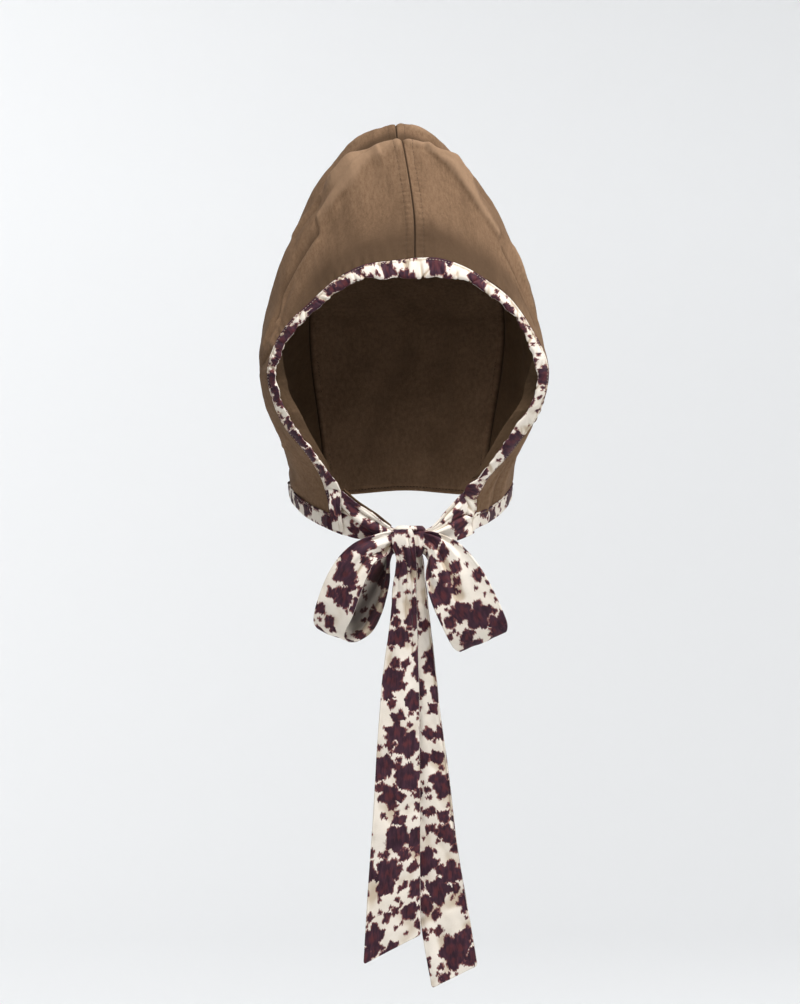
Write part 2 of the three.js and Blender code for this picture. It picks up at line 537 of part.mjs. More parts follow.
// The band lies on the outside of the hem: up the left side, round the back and along the right.
// It runs on past the crown's front edge to each tie, by so much across, and forward and down by
// a share of that.
const BAND_AHEAD = { left: 11.2, right: 1.0 };
const BAND_FORWARD = 0.36;
const BAND_DOWN = 0.4;
function neckBand() {
  const crownRows = (side) => steps(CROWN_DEPTH_STEPS).map((u) => bandRow(
    (v) => crownPoint(side, u, v), u === 1 ? seamOutward(side, 0) : outward(side, u, 0)));
  const panelRows = steps(PANEL_STEPS).slice(1, -1).map((s) => bandRow(
    (v) => panelPoint(s, v), panelOutward(s, 0)));
  const path = [...crownRows('left'), ...panelRows, ...crownRows('right').reverse()];
  path.unshift(bandFront(path[0], BAND_AHEAD.left));
  path.push(bandFront(path[path.length - 1], -BAND_AHEAD.right));
  const layer = (distance) => path.map(({ foot, top, normal }) => [
    foot.clone().addScaledVector(normal, distance),
    foot.clone().lerp(top, 0.5).addScaledVector(normal, distance),
    top.clone().addScaledVector(normal, distance),
  ]);
  return wall(layer(GAP + BAND_THICK), layer(GAP));
}

// One more row of the band, ahead of the crown
function bandFront(row, x) {
  const ahead = new THREE.Vector3(x, -BAND_FORWARD * Math.abs(x), -BAND_DOWN * Math.abs(x));
  return {
    foot: row.foot.clone().add(ahead),
    top: row.top.clone().add(ahead),
    normal: row.normal,
  };
}

function bowKnot() {
  const rings = KNOT.map(({ z, left, right, halfDepth }) => angles(KNOT_SIDES).map((angle) => {
    const c = Math.cos(angle);
    const s = Math.sin(angle);
    const reach = (Math.abs(c) ** KNOT_SQUARENESS + Math.abs(s) ** KNOT_SQUARENESS)
      ** (-1 / KNOT_SQUARENESS);
    return new THREE.Vector3(
      (left + right) / 2 + (right - left) / 2 * reach * c,
      KNOT_Y + halfDepth * reach * s,
      z,
    );
  }));
  return solid(rings);
}

const cloth = () => new THREE.MeshStandardMaterial({ color: 0x6f5a45, roughness: 0.9, metalness: 0 });
const innerCloth = () => new THREE.MeshStandardMaterial({ color: 0x5b473a, roughness: 0.92, metalness: 0 });
const print = () => new THREE.MeshStandardMaterial({ color: 0xe9dfd0, roughness: 0.75, metalness: 0 });

const hood = new THREE.Group();

function addPiece(name, geometry, material) {
  const mesh = new THREE.Mesh(geometry, material);
  mesh.name = name;
  hood.add(mesh);
}

for (const side of ['left', 'right']) {
  addPiece(`crown_${side}`, crownHalf(side), cloth());
  addPiece(`facing_${side}`, facing(side), innerCloth());
}
addPiece('back_panel', backPanel(), cloth());
addPiece('front_casing', frontCasing(), print());
addPiece('neck_band', neckBand(), print());
addPiece('bow_knot', bowKnot(), print());
for (const { name, rows, along, across } of RIBBONS) {
  addPiece(name, ribbon(rows, along, across), print());
}

export default hood;
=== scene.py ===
"""The look of a cotton hood with a printed casing, neck band and tied bow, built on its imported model."""

import logging
import math
from collections.abc import Sequence
from dataclasses import dataclass, field
from enum import Enum

import bmesh
import bpy
import numpy as np
from mathutils import Matrix, Vector


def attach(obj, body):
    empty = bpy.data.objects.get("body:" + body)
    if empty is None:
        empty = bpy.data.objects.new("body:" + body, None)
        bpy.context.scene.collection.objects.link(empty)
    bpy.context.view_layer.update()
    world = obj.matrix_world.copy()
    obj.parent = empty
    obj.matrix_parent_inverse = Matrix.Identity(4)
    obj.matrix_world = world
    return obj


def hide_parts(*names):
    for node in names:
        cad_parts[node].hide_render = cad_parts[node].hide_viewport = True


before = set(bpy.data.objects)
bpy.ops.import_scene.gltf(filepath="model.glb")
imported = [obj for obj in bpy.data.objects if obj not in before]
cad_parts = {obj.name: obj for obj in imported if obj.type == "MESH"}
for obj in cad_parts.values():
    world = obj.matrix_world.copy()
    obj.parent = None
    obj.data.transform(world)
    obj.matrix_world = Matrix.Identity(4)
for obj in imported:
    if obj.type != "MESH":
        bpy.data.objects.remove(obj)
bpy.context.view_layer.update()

MM = 0.001
BODY = "root"
THINNEST = 0.12     # the wall's share of its thickness where it thins out at a seam
SEAM_TAPER = 3.0    # how far from a seam it starts to thin out, in millimetres
FAR = 60.0          # a distance at which no seam shows any more, in millimetres
log = logging.getLogger("hood")

Array = np.ndarray
Pair = tuple[float, float]
Triple = tuple[float, float, float]
Socket = bpy.types.NodeSocket


class Side(Enum):
    """A side of the hood, as seen from the front."""

    LEFT = "left"
    RIGHT = "right"

    @property
    def sign(self) -> float:
        """The way from the middle to this side along X."""
        return -1.0 if self is Side.LEFT else 1.0


class Slot(Enum):
    """Names of material slots, which dress takes but does not read."""

    CROWN = "crown_cloth"
    FACING = "facing_cloth"
    PRINT = "printed_cloth"


class Held(Enum):
    """How a sheet of cloth is held."""

    HUNG = "hung"
    GATHERED = "gathered"
    FOLDED = "folded"
    STRETCHED = "stretched"


def joined(start: Array, end: Array, slopes: tuple[Array, Array], t: Array) -> Array:
    """A cubic from start to end as t runs from 0 to 1, with a slope for each end."""
    rise = end - start
    a, b = slopes[0] - rise, rise - slopes[1]
    return start + rise * t + t * (1 - t) * (a * (1 - t) + b * t)


class Table:
    """Rows of numbers with named columns, read as smooth curves by the first column."""

    def __init__(self, names: str, rows: Sequence[Sequence[float]]) -> None:
        """Keeps the rows and works out each column's slopes.

        Args:
            names: the columns' names, parted by spaces; the first is the one that is read by
            rows: the numbers
        """
        self.names = names.split()[1:]
        data = np.array(rows, float)
        self.at, self.values = data[:, 0], data[:, 1:]
        order = np.arange(len(data))
        before, after = np.maximum(order - 1, 0), np.minimum(order + 1, len(data) - 1)
        step = (self.at[after] - self.at[before])[:, None]
        self.slopes = (self.values[after] - self.values[before]) / step

    def read(self, at: Array) -> dict[str, Array]:
        """Reads every column.

        Args:
            at: where to read, any shape

        Returns:
            an array for each column, in the shape of at
        """
        flat = np.ravel(at)
        i = np.clip(np.searchsorted(self.at, flat) - 1, 0, len(self.at) - 2)
        step = self.at[i + 1] - self.at[i]
        t = np.clip((flat - self.at[i]) / step, 0, 1)[:, None]
        slopes = self.slopes[i] * step[:, None], self.slopes[i + 1] * step[:, None]
        found = joined(self.values[i], self.values[i + 1], slopes, t)
        shape = np.shape(at)
        return {name: found[:, k].reshape(shape) for k, name in enumerate(self.names)}

    def points(self, at: Array, prefix: str) -> Array:
        """Reads the three columns whose names are prefix with x, y and z.

        Args:
            at: where to read, any shape
            prefix: the start of the columns' names

        Returns:
            points, with one more axis than at
        """
        found = self.read(at)
        return np.stack([found[prefix + axis] for axis in "xyz"], -1)


class Waves:
    """A smooth random height over a flat sheet, as a sum of seeded waves."""

    def __init__(self, seed: int, length: float, count: int = 22) -> None:
        """Draws the waves.

        Args:
            seed: of the random draws
            length: the usual distance between two crests, in millimetres
            count: how many waves are added up
        """
        rng = np.random.default_rng(seed)
        turn = rng.uniform(0, 2 * np.pi, count)
        pace = 2 * np.pi / length * rng.uniform(0.55, 1.5, count)
        self.kx, self.ky = pace * np.cos(turn), pace * np.sin(turn)
        self.phase = rng.uniform(0, 2 * np.pi, count)
        self.scale = math.sqrt(2 / count)

    def __call__(self, x: Array, y: Array) -> Array:
        """The height at each (x, y), about from -2 to 2."""
        total = np.zeros(np.broadcast(x, y).shape)
        for kx, ky, phase in zip(self.kx, self.ky, self.phase):
            total += np.sin(kx * x + ky * y + phase)
        return total * self.scale


@dataclass(frozen=True)
class Fold:
    """A ridge or crease along a line on a sheet.

    Args:
        path: points of the line, as shares of the sheet's two sides
        width: half width in millimetres
        height: below zero for a crease
        lean: how much steeper the fold is on the left of its path
    """

    path: tuple[Pair, ...]
    width: float
    height: float
    lean: float = 0.0

    def rise(self, x: Array, y: Array, span: Pair) -> Array:
        """The fold's height at each point.

        Args:
            x: shares of the first side
            y: shares of the second side
            span: the two sides in millimetres

        Returns:
            heights in millimetres
        """
        px, py = x * span[0], y * span[1]
        best, signed = np.full(px.shape, np.inf), np.zeros(px.shape)
        for (x0, y0), (x1, y1) in zip(self.path, self.path[1:]):
            ax, ay, dx, dy = x0 * span[0], y0 * span[1], (x1 - x0) * span[0], (y1 - y0) * span[1]
            size = dx * dx + dy * dy
            t = np.clip(((px - ax) * dx + (py - ay) * dy) / size, 0, 1)
            far = np.hypot(px - ax - t * dx, py - ay - t * dy)
            side = ((px - ax) * dy - (py - ay) * dx) / math.sqrt(size)
            nearer = far < best
            best = np.where(nearer, far, best)
            signed = np.where(nearer, side, signed)
        reach = best / self.width * (1 + self.lean * np.tanh(-signed / self.width))
        return self.height * np.exp(-(reach**2))


def bell(x: Array, width: float, power: int = 2) -> Array:
    """A smooth bump: 1 at zero, and nearly 0 from two widths on."""
    return np.exp(-((x / width) ** power))


def rounded(x: Array, radius: float) -> Array:
    """The height of a rounded edge: 0 at the edge and 1 from a radius inwards."""
    return np.sqrt(np.clip(1 - (1 - np.clip(x / radius, 0, 1)) ** 2, 0, 1))


def pairs(x: Array, y: Array) -> Array:
    """A grid of pairs from two grids of numbers, or from a row and a column."""
    return np.stack(np.broadcast_arrays(x, y), -1)


def there_and_back(front: Array, back: Array) -> Array:
    """The front's columns, and then the back's from the last but one to the first."""
    return np.concatenate([front, back[:, -2::-1]], axis=1)


@dataclass(frozen=True)
class Welt:
    """A low ridge along an edge, or a groove where its height is below zero, in millimetres."""

    place: float
    width: float
    height: float

    def rise(self, away: Array) -> Array:
        """The welt's height at a distance from the edge."""
        return self.height * bell(away - self.place, self.width)


@dataclass(frozen=True)
class Ripples:
    """Small waves along an edge, as puckers and gathers make them.

    Args:
        height: of a wave, in millimetres
        pitch: from crest to crest, in millimetres
        reach: how far from the edge they die out, in millimetres
        wander: how far chance moves the crests, in radians
        drift: how fast that changes with the distance from the edge
        start: where the chance is read
    """

    height: float
    pitch: float
    reach: float
    wander: float
    drift: float
    start: float = 0.0

    def beat(self, chance: Waves, along: Array, away: Array, offset: float) -> Array:
        """The waves by themselves, from -1 to 1.

        Args:
            chance: random heights
            along: how far along the edge each point is
            away: how far from the edge it is
            offset: keeps one piece's chance apart from another's

        Returns:
            the sine of each point
        """
        moved = self.wander * chance(along + offset, away * self.drift + self.start)
        return np.sin(2 * np.pi * along / self.pitch + moved)

    def rise(self, chance: Waves, along: Array, away: Array, offset: float) -> Array:
        """The waves' height, with the same arguments."""
        return self.height * bell(away, self.reach) * self.beat(chance, along, away, offset)


def unit(vectors: Array) -> Array:
    """The vectors with a length of one."""
    return vectors / np.maximum(np.linalg.norm(vectors, axis=-1, keepdims=True), 1e-12)


def grid_normals(points: Array) -> Array:
    """The normal at each point of a grid, along columns across rows.

    Args:
        points: rows, columns and three

    Returns:
        unit vectors in the same shape
    """
    down, over = np.gradient(points, axis=0), np.gradient(points, axis=1)
    return unit(np.cross(over, down))


def lengths(points: Array) -> Array:
    """How far along a line of points each one is."""
    steps = np.linalg.norm(np.diff(points, axis=0), axis=1)
    return np.concatenate([[0.0], np.cumsum(steps)])


def spaced(*stretches: tuple[float, float, int]) -> Array:
    """Values from stretch to stretch, each with its own number of steps.

    Args:
        stretches: start, end and steps of each

    Returns:
        all the values, with no double ones
    """
    parts = [np.linspace(start, end, steps + 1)[:-1] for start, end, steps in stretches]
    return np.concatenate([*parts, [stretches[-1][1]]])


def mesh_object(name: str, mesh: bpy.types.Mesh) -> bpy.types.Object:
    """Puts a mesh in the scene as a smooth object at the origin."""
    mesh.polygons.foreach_set("use_smooth", [True] * len(mesh.polygons))
    mesh.update()
    piece = bpy.data.objects.new(name, mesh)
    bpy.context.scene.collection.objects.link(piece)
    return piece


def bend_grid(name: str, points: Array, flat: Array, turned: bool = False,
              closed: bool = False, values: dict[str, Array] | None = None) -> bpy.types.Object:
    """Bends a flat grid into a sheet or a tube.

    Args:
        name: the piece's name
        points: rows, columns and three, in millimetres
        flat: rows, columns and two, the place on the flat cloth in millimetres
        turned: the faces point the other way
        closed: neighbouring points that meet are joined, and the faces then point outwards
        values: numbers for each point of the grid, kept as attributes of these names

    Returns:
        the object
    """
    rows, columns = points.shape[:2]
    shape = bmesh.new()
    bmesh.ops.create_grid(shape, x_segments=columns - 1, y_segments=rows - 1, size=0.5)
    mesh = bpy.data.meshes.new(name)
    shape.to_mesh(mesh)
    place = np.empty(len(mesh.vertices) * 3)
    mesh.vertices.foreach_get("co", place)
    place = place.reshape(-1, 3) + 0.5
    column = np.rint(place[:, 0] * (columns - 1)).astype(int)
    row = np.rint(place[:, 1] * (rows - 1)).astype(int)
    mesh.vertices.foreach_set("co", (points[row, column] * MM).ravel())
    layer = mesh.uv_layers.new(name="UVMap")
    corner = np.empty(len(mesh.loops), int)
    mesh.loops.foreach_get("vertex_index", corner)
    layer.data.foreach_set("uv", (flat[row, column] * MM)[corner].ravel())
    for key, numbers in (values or {}).items():
        attribute = mesh.attributes.new(key, "FLOAT", "POINT")
        attribute.data.foreach_set("value", numbers[row, column].ravel())
    shape.clear()
    shape.from_mesh(mesh)
    if closed:
        bmesh.ops.remove_doubles(shape, verts=shape.verts, dist=1e-6)
        bmesh.ops.recalc_face_normals(shape, faces=shape.faces)
    if turned:
        bmesh.ops.reverse_faces(shape, faces=shape.faces)
    shape.to_mesh(mesh)
    shape.free()
    return mesh_object(name, mesh)


def give_wall(piece: bpy.types.Object, thickness: float, offset: float, thin: str = "") -> None:
    """Gives a sheet its thickness.

    Args:
        piece: the sheet
        thickness: in millimetres
        offset: -1 for a wall behind the faces, 1 for one in front
        thin: a vertex group whose weight scales the thickness
    """
    wall = piece.modifiers.new("Wall", "SOLIDIFY")
    wall.thickness = thickness * MM
    wall.offset = offset
    wall.use_even_offset = False
    if thin:
        wall.vertex_group = thin
        wall.thickness_vertex_group = THINNEST


def weigh(piece: bpy.types.Object, name: str, attribute: str) -> None:
    """Makes a vertex group from an attribute of the same piece."""
    numbers = piece.data.attributes[attribute].data
    group = piece.vertex_groups.new(name=name)
    levels = 20
    by_level: dict[int, list[int]] = {}
    for i, entry in enumerate(numbers):
        by_level.setdefault(round(min(max(entry.value, 0), 1) * levels), []).append(i)
    for level, indices in by_level.items():
        group.add(indices, level / levels, "REPLACE")


def dimmed(colour: Triple, share: float) -> Triple:
    """A darker colour of the same hue."""
    red, green, blue = colour
    return red * share, green * share, blue * share


class Expr:
    """A shader value that Python's operators turn into Math nodes."""

    def __init__(self, nodes: "Nodes", socket: Socket) -> None:
        """Wraps a socket of a material's nodes."""
        self.nodes, self.socket = nodes, socket

    def math(self, operation: str, *others: "Expr | float") -> "Expr":
        """Adds a Math node with this value first."""
        return self.nodes.math(operation, self, *others)

    def __add__(self, other: "Expr | float") -> "Expr":
        """This value and another."""
        return self.math("ADD", other)

    __radd__ = __add__

    def __sub__(self, other: "Expr | float") -> "Expr":
        """This value less another."""
        return self.math("SUBTRACT", other)

    def __rsub__(self, other: float) -> "Expr":
        """Another value less this one."""
        return self.nodes.math("SUBTRACT", other, self)

    def __mul__(self, other: "Expr | float") -> "Expr":
        """This value times another."""
        return self.math("MULTIPLY", other)

    __rmul__ = __mul__

    def __truediv__(self, other: "Expr | float") -> "Expr":
        """This value divided by another."""
        return self.math("DIVIDE", other)

    def sin(self) -> "Expr":
        """The sine."""
        return self.math("SINE")

    def floor(self) -> "Expr":
        """The whole number below."""
        return self.math("FLOOR")

    def high(self, other: "Expr | float") -> "Expr":
        """The larger of two values."""
        return self.math("MAXIMUM", other)

    def step(self, start: float, end: float) -> "Expr":
        """Rises smoothly from 0 at start to 1 at end."""
        found = self.nodes.add("ShaderNodeMapRange", {"interpolation_type": "SMOOTHSTEP"},
                               {"Value": self, "From Min": start, "From Max": end})
        return Expr(self.nodes, found.outputs["Result"])


class Nodes:
    """The nodes of one material."""

    def __init__(self, name: str) -> None:
        """Makes the material with only its output."""
        self.material = bpy.data.materials.new(name)
        self.material.use_nodes = True
        self.tree = self.material.node_tree
        self.tree.nodes.clear()
        self.output = self.tree.nodes.new("ShaderNodeOutputMaterial")

    def add(self, kind: str, settings: dict[str, object] | None = None,
            sockets: dict[str | int, object] | None = None) -> bpy.types.Node:
        """Adds a node.

        Args:
            kind: the node's type
            settings: what is set on the node itself, before its sockets
            sockets: a value, a socket or an Expr for each input

        Returns:
            the node
        """
        node = self.tree.nodes.new(kind)
        for key, value in (settings or {}).items():
            setattr(node, key, value)
        for key, value in (sockets or {}).items():
            value = value.socket if isinstance(value, Expr) else value
            if isinstance(value, Socket):
                self.tree.links.new(value, node.inputs[key])
            else:
                node.inputs[key].default_value = value
        return node

    def math(self, operation: str, *values: Expr | float) -> Expr:
        """Adds a Math node on some values."""
        node = self.add("ShaderNodeMath", {"operation": operation}, dict(enumerate(values)))
        return Expr(self, node.outputs[0])

    def mix(self, share: Expr, first: Triple | Socket, second: Triple | Socket) -> Socket:
        """Mixes two colours.

        Args:
            share: how much of the second, from 0 to 1
            first: a colour or a socket
            second: a colour or a socket

        Returns:
            the mixed colour's socket
        """
        first, second = ((*part, 1.0) if isinstance(part, tuple) else part for part in (first, second))
        node = self.add("ShaderNodeMix", {"data_type": "RGBA"}, {0: share, 6: first, 7: second})
        return node.outputs[2]

    def flat_place(self) -> tuple[Expr, Expr]:
        """The place on the flat cloth, in millimetres."""
        uv = self.add("ShaderNodeUVMap", {"uv_map": "UVMap"})
        parts = self.add("ShaderNodeSeparateXYZ", None, {"Vector": uv.outputs["UV"]})
        return Expr(self, parts.outputs["X"]) / MM, Expr(self, parts.outputs["Y"]) / MM

    def vector(self, x: Expr, y: Expr) -> Socket:
        """A flat vector from two values."""
        return self.add("ShaderNodeCombineXYZ", None, {"X": x, "Y": y}).outputs["Vector"]

    def noise(self, place: Socket, size: float, detail: float = 2.0) -> Expr:
        """Smooth noise from 0 to 1.

        Args:
            place: where, in millimetres
            size: of its blotches, in millimetres
            detail: how many finer levels it has

        Returns:
            the noise
        """
        node = self.add("ShaderNodeTexNoise", None,
                        {"Vector": place, "Scale": 1 / size, "Detail": detail})
        return Expr(self, node.outputs["Fac"])

    def attribute(self, name: str) -> Expr:
        """A number that the mesh keeps under this name."""
        return Expr(self, self.add("ShaderNodeAttribute", {"attribute_name": name}).outputs["Fac"])

    def finish(self, colour: Socket, roughness: Expr | float, height: Expr,
               depth: float, sheen: float, sheen_tint: Sequence[float]) -> bpy.types.Material:
        """Ends the material in a cloth shader.

        Args:
            colour: the base colour
            roughness: a value or a varying one
            height: the relief of the weave, from 0 to 1
            depth: how deep the relief is, in millimetres
            sheen: how much nap catches the light
            sheen_tint: the nap's colour

        Returns:
            the material
        """
        bump = self.add("ShaderNodeBump", None,
                        {"Height": height, "Strength": 1.0, "Distance": depth * MM})
        cloth = self.add("ShaderNodeBsdfPrincipled", None,
                         {"Base Color": colour, "Roughness": roughness, "Normal": bump.outputs["Normal"],
                          "Sheen Weight": sheen, "Sheen Roughness": 0.45,
                          "Sheen Tint": (*sheen_tint, 1.0), "Specular IOR Level": 0.12})
        self.tree.links.new(cloth.outputs["BSDF"], self.output.inputs["Surface"])
        return self.material


@dataclass(frozen=True)
class BrushedCotton:
    """Matt cotton twill with a short nap, with painted shade in its creases and a painted highlight,
    partly rubbed wear, on its ridges.
    """

    name: str
    light: Triple = (0.220, 0.134, 0.079)
    dark: Triple = (0.128, 0.075, 0.042)
    wear_and_highlight: Triple = (0.330, 0.212, 0.132)
    rib: float = 0.75
    patch: float = 26.0

    def make(self) -> bpy.types.Material:
        """Builds the finish."""
        nodes = Nodes(self.name)
        x, y = nodes.flat_place()
        place = nodes.vector(x, y)
        patches = nodes.noise(place, self.patch, 3.0)
        nap = nodes.noise(place, 1.1, 3.0)
        slubs = nodes.noise(nodes.vector(x * 3.0, y * 0.35), 1.6, 2.0)
        ribs = ((x + y) * (2 * math.pi / self.rib) + nap * 2.2).sin() * 0.5 + 0.5
        relief = nodes.attribute("relief")
        brush = nodes.noise(place, 3.2, 4.0)
        mottle = (patches * 0.35 + brush * 0.45 + nap * 0.3 + slubs * 0.15 - 0.3).step(0.11, 0.55)
        colour = nodes.mix(mottle, self.dark, self.light)
        # Painted highlight on ridges, partly rubbed wear, and painted shade in creases, both read from the
        # relief attribute.
        ridge = (relief + (brush - 0.5) * 1.2).step(0.5, 3.6) * 0.55
        crease = (0.0 - relief + (brush - 0.5) * 0.8).step(0.1, 4.0) * 0.80
        colour = nodes.mix(ridge, colour, self.wear_and_highlight)
        colour = nodes.mix(crease, colour, dimmed(self.dark, 0.5))
        colour = nodes.mix(nodes.attribute("seam") * 0.9, colour, dimmed(self.dark, 0.16))
        roughness = 0.86 + nap * 0.1
        height = ribs * 0.45 + nap * 0.4 + slubs * 0.25
        return nodes.finish(colour, roughness, height, 0.10, 0.03, (0.70, 0.52, 0.38))


@dataclass(frozen=True)
class PrintedCotton:
    """Smooth cream cotton with a generic ragged blotch print, with painted shade in its creases and a
    painted shadow deep inside folds.
    """

    name: str
    cream: Triple = (0.82, 0.755, 0.67)
    cream_deep: Triple = (0.72, 0.63, 0.515)
    plum: Triple = (0.032, 0.013, 0.022)
    plum_light: Triple = (0.060, 0.024, 0.038)
    russet: Triple = (0.130, 0.028, 0.026)
    rust: Triple = (0.33, 0.105, 0.085)
    shade: Triple = (0.50, 0.39, 0.27)
    # The colour of the painted shadow deep inside a fold.
    deep: Triple = (0.030, 0.015, 0.013)
    thread: float = 1.0

    def blotches(self, nodes: Nodes, x: Expr, y: Expr, size: float, radius: float, lobes: int,
                 depth: float, share: float) -> tuple[Expr, Expr]:
        """One layer of blotches, one in each cell of an uneven mesh of cells.

        Args:
            nodes: the material's nodes
            x: place across, in millimetres
            y: place along, in millimetres
            size: of a cell
            radius: of a blotch
            lobes: how many rounded parts its outline has
            depth: how far the lobes go in, as a share of the radius
            share: how many of the cells have a blotch

        Returns:
            how far inside the nearest blotch each point is, in millimetres, and how near its middle
            it is, from 0 to 1
        """
        cells = nodes.add("ShaderNodeTexVoronoi", {"voronoi_dimensions": "2D"},
                          {"Vector": nodes.vector(x, y), "Scale": 1 / size, "Randomness": 0.85})
        middle = nodes.add("ShaderNodeSeparateXYZ", None, {"Vector": cells.outputs["Position"]})
        chance = nodes.add("ShaderNodeSeparateColor", None, {"Color": cells.outputs["Color"]})
        first, second, third = (Expr(nodes, chance.outputs[i]) for i in range(3))
        dx = x - Expr(nodes, middle.outputs["X"])
        dy = y - Expr(nodes, middle.outputs["Y"])
        turn = nodes.math("ARCTAN2", dy, dx)
        far = Expr(nodes, cells.outputs["Distance"]) * size
        outline = (turn * float(lobes) + first * 20.0).sin() * depth + 1.0
        reach = (0.7 + second * 0.5) * radius * outline
        drawn = (share - third).step(-0.001, 0.001)
        inside = (reach - far) - (1.0 - drawn) * 100.0
        return inside, drawn - far / radius

    def make(self) -> bpy.types.Material:
        """Builds the finish."""
        nodes = Nodes(self.name)
        x, y = nodes.flat_place()
        column = (x / self.thread).floor()
        tooth = nodes.add("ShaderNodeTexWhiteNoise", {"noise_dimensions": "2D"},
                          {"Vector": nodes.vector(column, (y / 7.0).floor())})
        ragged = y + (Expr(nodes, tooth.outputs["Value"]) - 0.5) * 1.8
        across = x * 0.45 + (column + 0.5) * (0.55 * self.thread)
        place = nodes.vector(across, ragged * 0.8)
        swirl = nodes.noise(place, 8.0, 2.0) - 0.5
        swirl_too = nodes.noise(nodes.vector(across + 91.0, ragged), 8.0, 2.0) - 0.5
        bx, by = across + swirl * 9.0, ragged + swirl_too * 8.0
        big, near = self.blotches(nodes, bx, by, 26.0, 9.2, 5, 0.15, 0.92)
        middling, near_too = self.blotches(nodes, bx + 57.0, by + 23.0, 17.0, 5.5, 4, 0.16, 0.85)
        small, _ = self.blotches(nodes, across + swirl * 5.0 + 11.0, ragged + 7.0, 9.0, 2.2, 3, 0.18, 0.60)
        inside = big.high(middling).high(small)
        dye = nodes.noise(nodes.vector(x * 1.6, y * 0.5), 4.5, 3.0)
        feather = (nodes.noise(nodes.vector(x * 2.2, y * 0.45), 1.5, 2.0) - 0.5) * 2.2
        inside = inside + feather
        mask = inside.step(-0.60, 0.45)
        ring = inside.step(-0.6, 0.1) * (1.0 - inside.step(0.2, 1.4))
        heart = (near.high(near_too) * 0.8 + dye * 1.3 - 0.8).step(0.15, 0.75)
        weave = nodes.noise(nodes.vector(x * 1.0, y * 4.0), 2.4, 2.0)
        shade = nodes.noise(nodes.vector(x, y), 40.0, 2.0)
        ground = nodes.mix((weave * 0.5 + shade * 0.6 - 0.15).step(0.2, 0.9),
                           self.cream, self.cream_deep)
        # Painted shade on the cream ground in creases, read from the relief attribute.
        crease = (0.0 - nodes.attribute("relief")).step(0.1, 1.4) * 0.8
        ground = nodes.mix(crease, ground, self.shade)
        ink = nodes.mix(dye.step(0.3, 0.7), self.plum, self.plum_light)
        ink = nodes.mix(heart * 0.6, ink, self.russet)
        ink = nodes.mix(ring * 0.62, ink, self.rust)
        colour = nodes.mix(mask, ground, ink)
        # Painted shadow where a ribbon lies deep inside a fold, from its shadow folds.
        colour = nodes.mix(nodes.attribute("hollow_shade"), colour, self.deep)
        warp = (x * (2 * math.pi / 0.55)).sin() * (y * (2 * math.pi / 0.55)).sin() * 0.5 + 0.5
        height = warp * 0.5 + weave * 0.5
        return nodes.finish(colour, 0.62 + weave * 0.14, height, 0.05, 0.12, (1.0, 0.96, 0.9))


@dataclass(frozen=True)
class Thread:
    """Sewing thread."""

    name: str
    colour: Triple = (0.10, 0.063, 0.038)

    def make(self) -> bpy.types.Material:
        """Builds the finish."""
        nodes = Nodes(self.name)
        place = nodes.add("ShaderNodeTexCoord").outputs["Object"]
        twist = nodes.noise(place, 0.0004, 1.0)
        colour = nodes.mix(twist, dimmed(self.colour, 0.7), self.colour)
        return nodes.finish(colour, 0.6 + twist * 0.2, twist, 0.04, 0.1, (1.0, 0.9, 0.8))


@dataclass(frozen=True)
class PlainBackdrop:
    """A plain pale backdrop."""

    name: str
    colour: Triple = (0.86, 0.87, 0.88)

    def make(self) -> bpy.types.Material:
        """Builds the finish."""
        nodes = Nodes(self.name)
        paper = nodes.add("ShaderNodeBsdfPrincipled", None,
                          {"Base Color": (*self.colour, 1.0), "Roughness": 0.9,
                           "Specular IOR Level": 0.1})
        nodes.tree.links.new(paper.outputs["BSDF"], nodes.output.inputs["Surface"])
        return nodes.material


@dataclass
class Wardrobe:
    """All the finishes, made once."""

    crown: bpy.types.Material = field(default_factory=BrushedCotton("crown_cotton").make)
    # A darker copy of the brown cloth, as painted shade for the inner faces of the crown and for the tie's
    # lining.
    inside: bpy.types.Material = field(default_factory=BrushedCotton(
        "shaded_inside_cotton", light=(0.112, 0.066, 0.035), dark=(0.074, 0.042, 0.021),
        wear_and_highlight=(0.15, 0.09, 0.05)).make)
    # A darker copy of the brown cloth, as painted shade for the facings behind the casing.
    facing: bpy.types.Material = field(default_factory=BrushedCotton(
        "shaded_facing_cotton", light=(0.100, 0.061, 0.034), dark=(0.066, 0.039, 0.021)).make)
    printed: bpy.types.Material = field(default_factory=PrintedCotton("printed_cotton").make)
    thread: bpy.types.Material = field(default_factory=Thread("brown_thread").make)
    dark_thread: bpy.types.Material = field(default_factory=Thread(
        "dark_brown_thread", colour=(0.022, 0.013, 0.008)).make)
    cream_thread: bpy.types.Material = field(default_factory=Thread(
        "cream_thread", colour=(0.62, 0.52, 0.40)).make)


def dress(piece: bpy.types.Object, material: bpy.types.Material, slot: Slot, *stands_for: str) -> None:
    """Gives a piece its finish, hangs it under the body, hides the model's parts that it replaces and logs
    its faces.

    Args:
        piece: the piece
        material: its finish
        slot: not used
        stands_for: the model's nodes that it replaces
    """
    piece.data.materials.append(material)
    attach(piece, BODY)
    if stands_for:
        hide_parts(*stands_for)
    log.info("%s: %d faces", piece.name, len(piece.data.polygons))


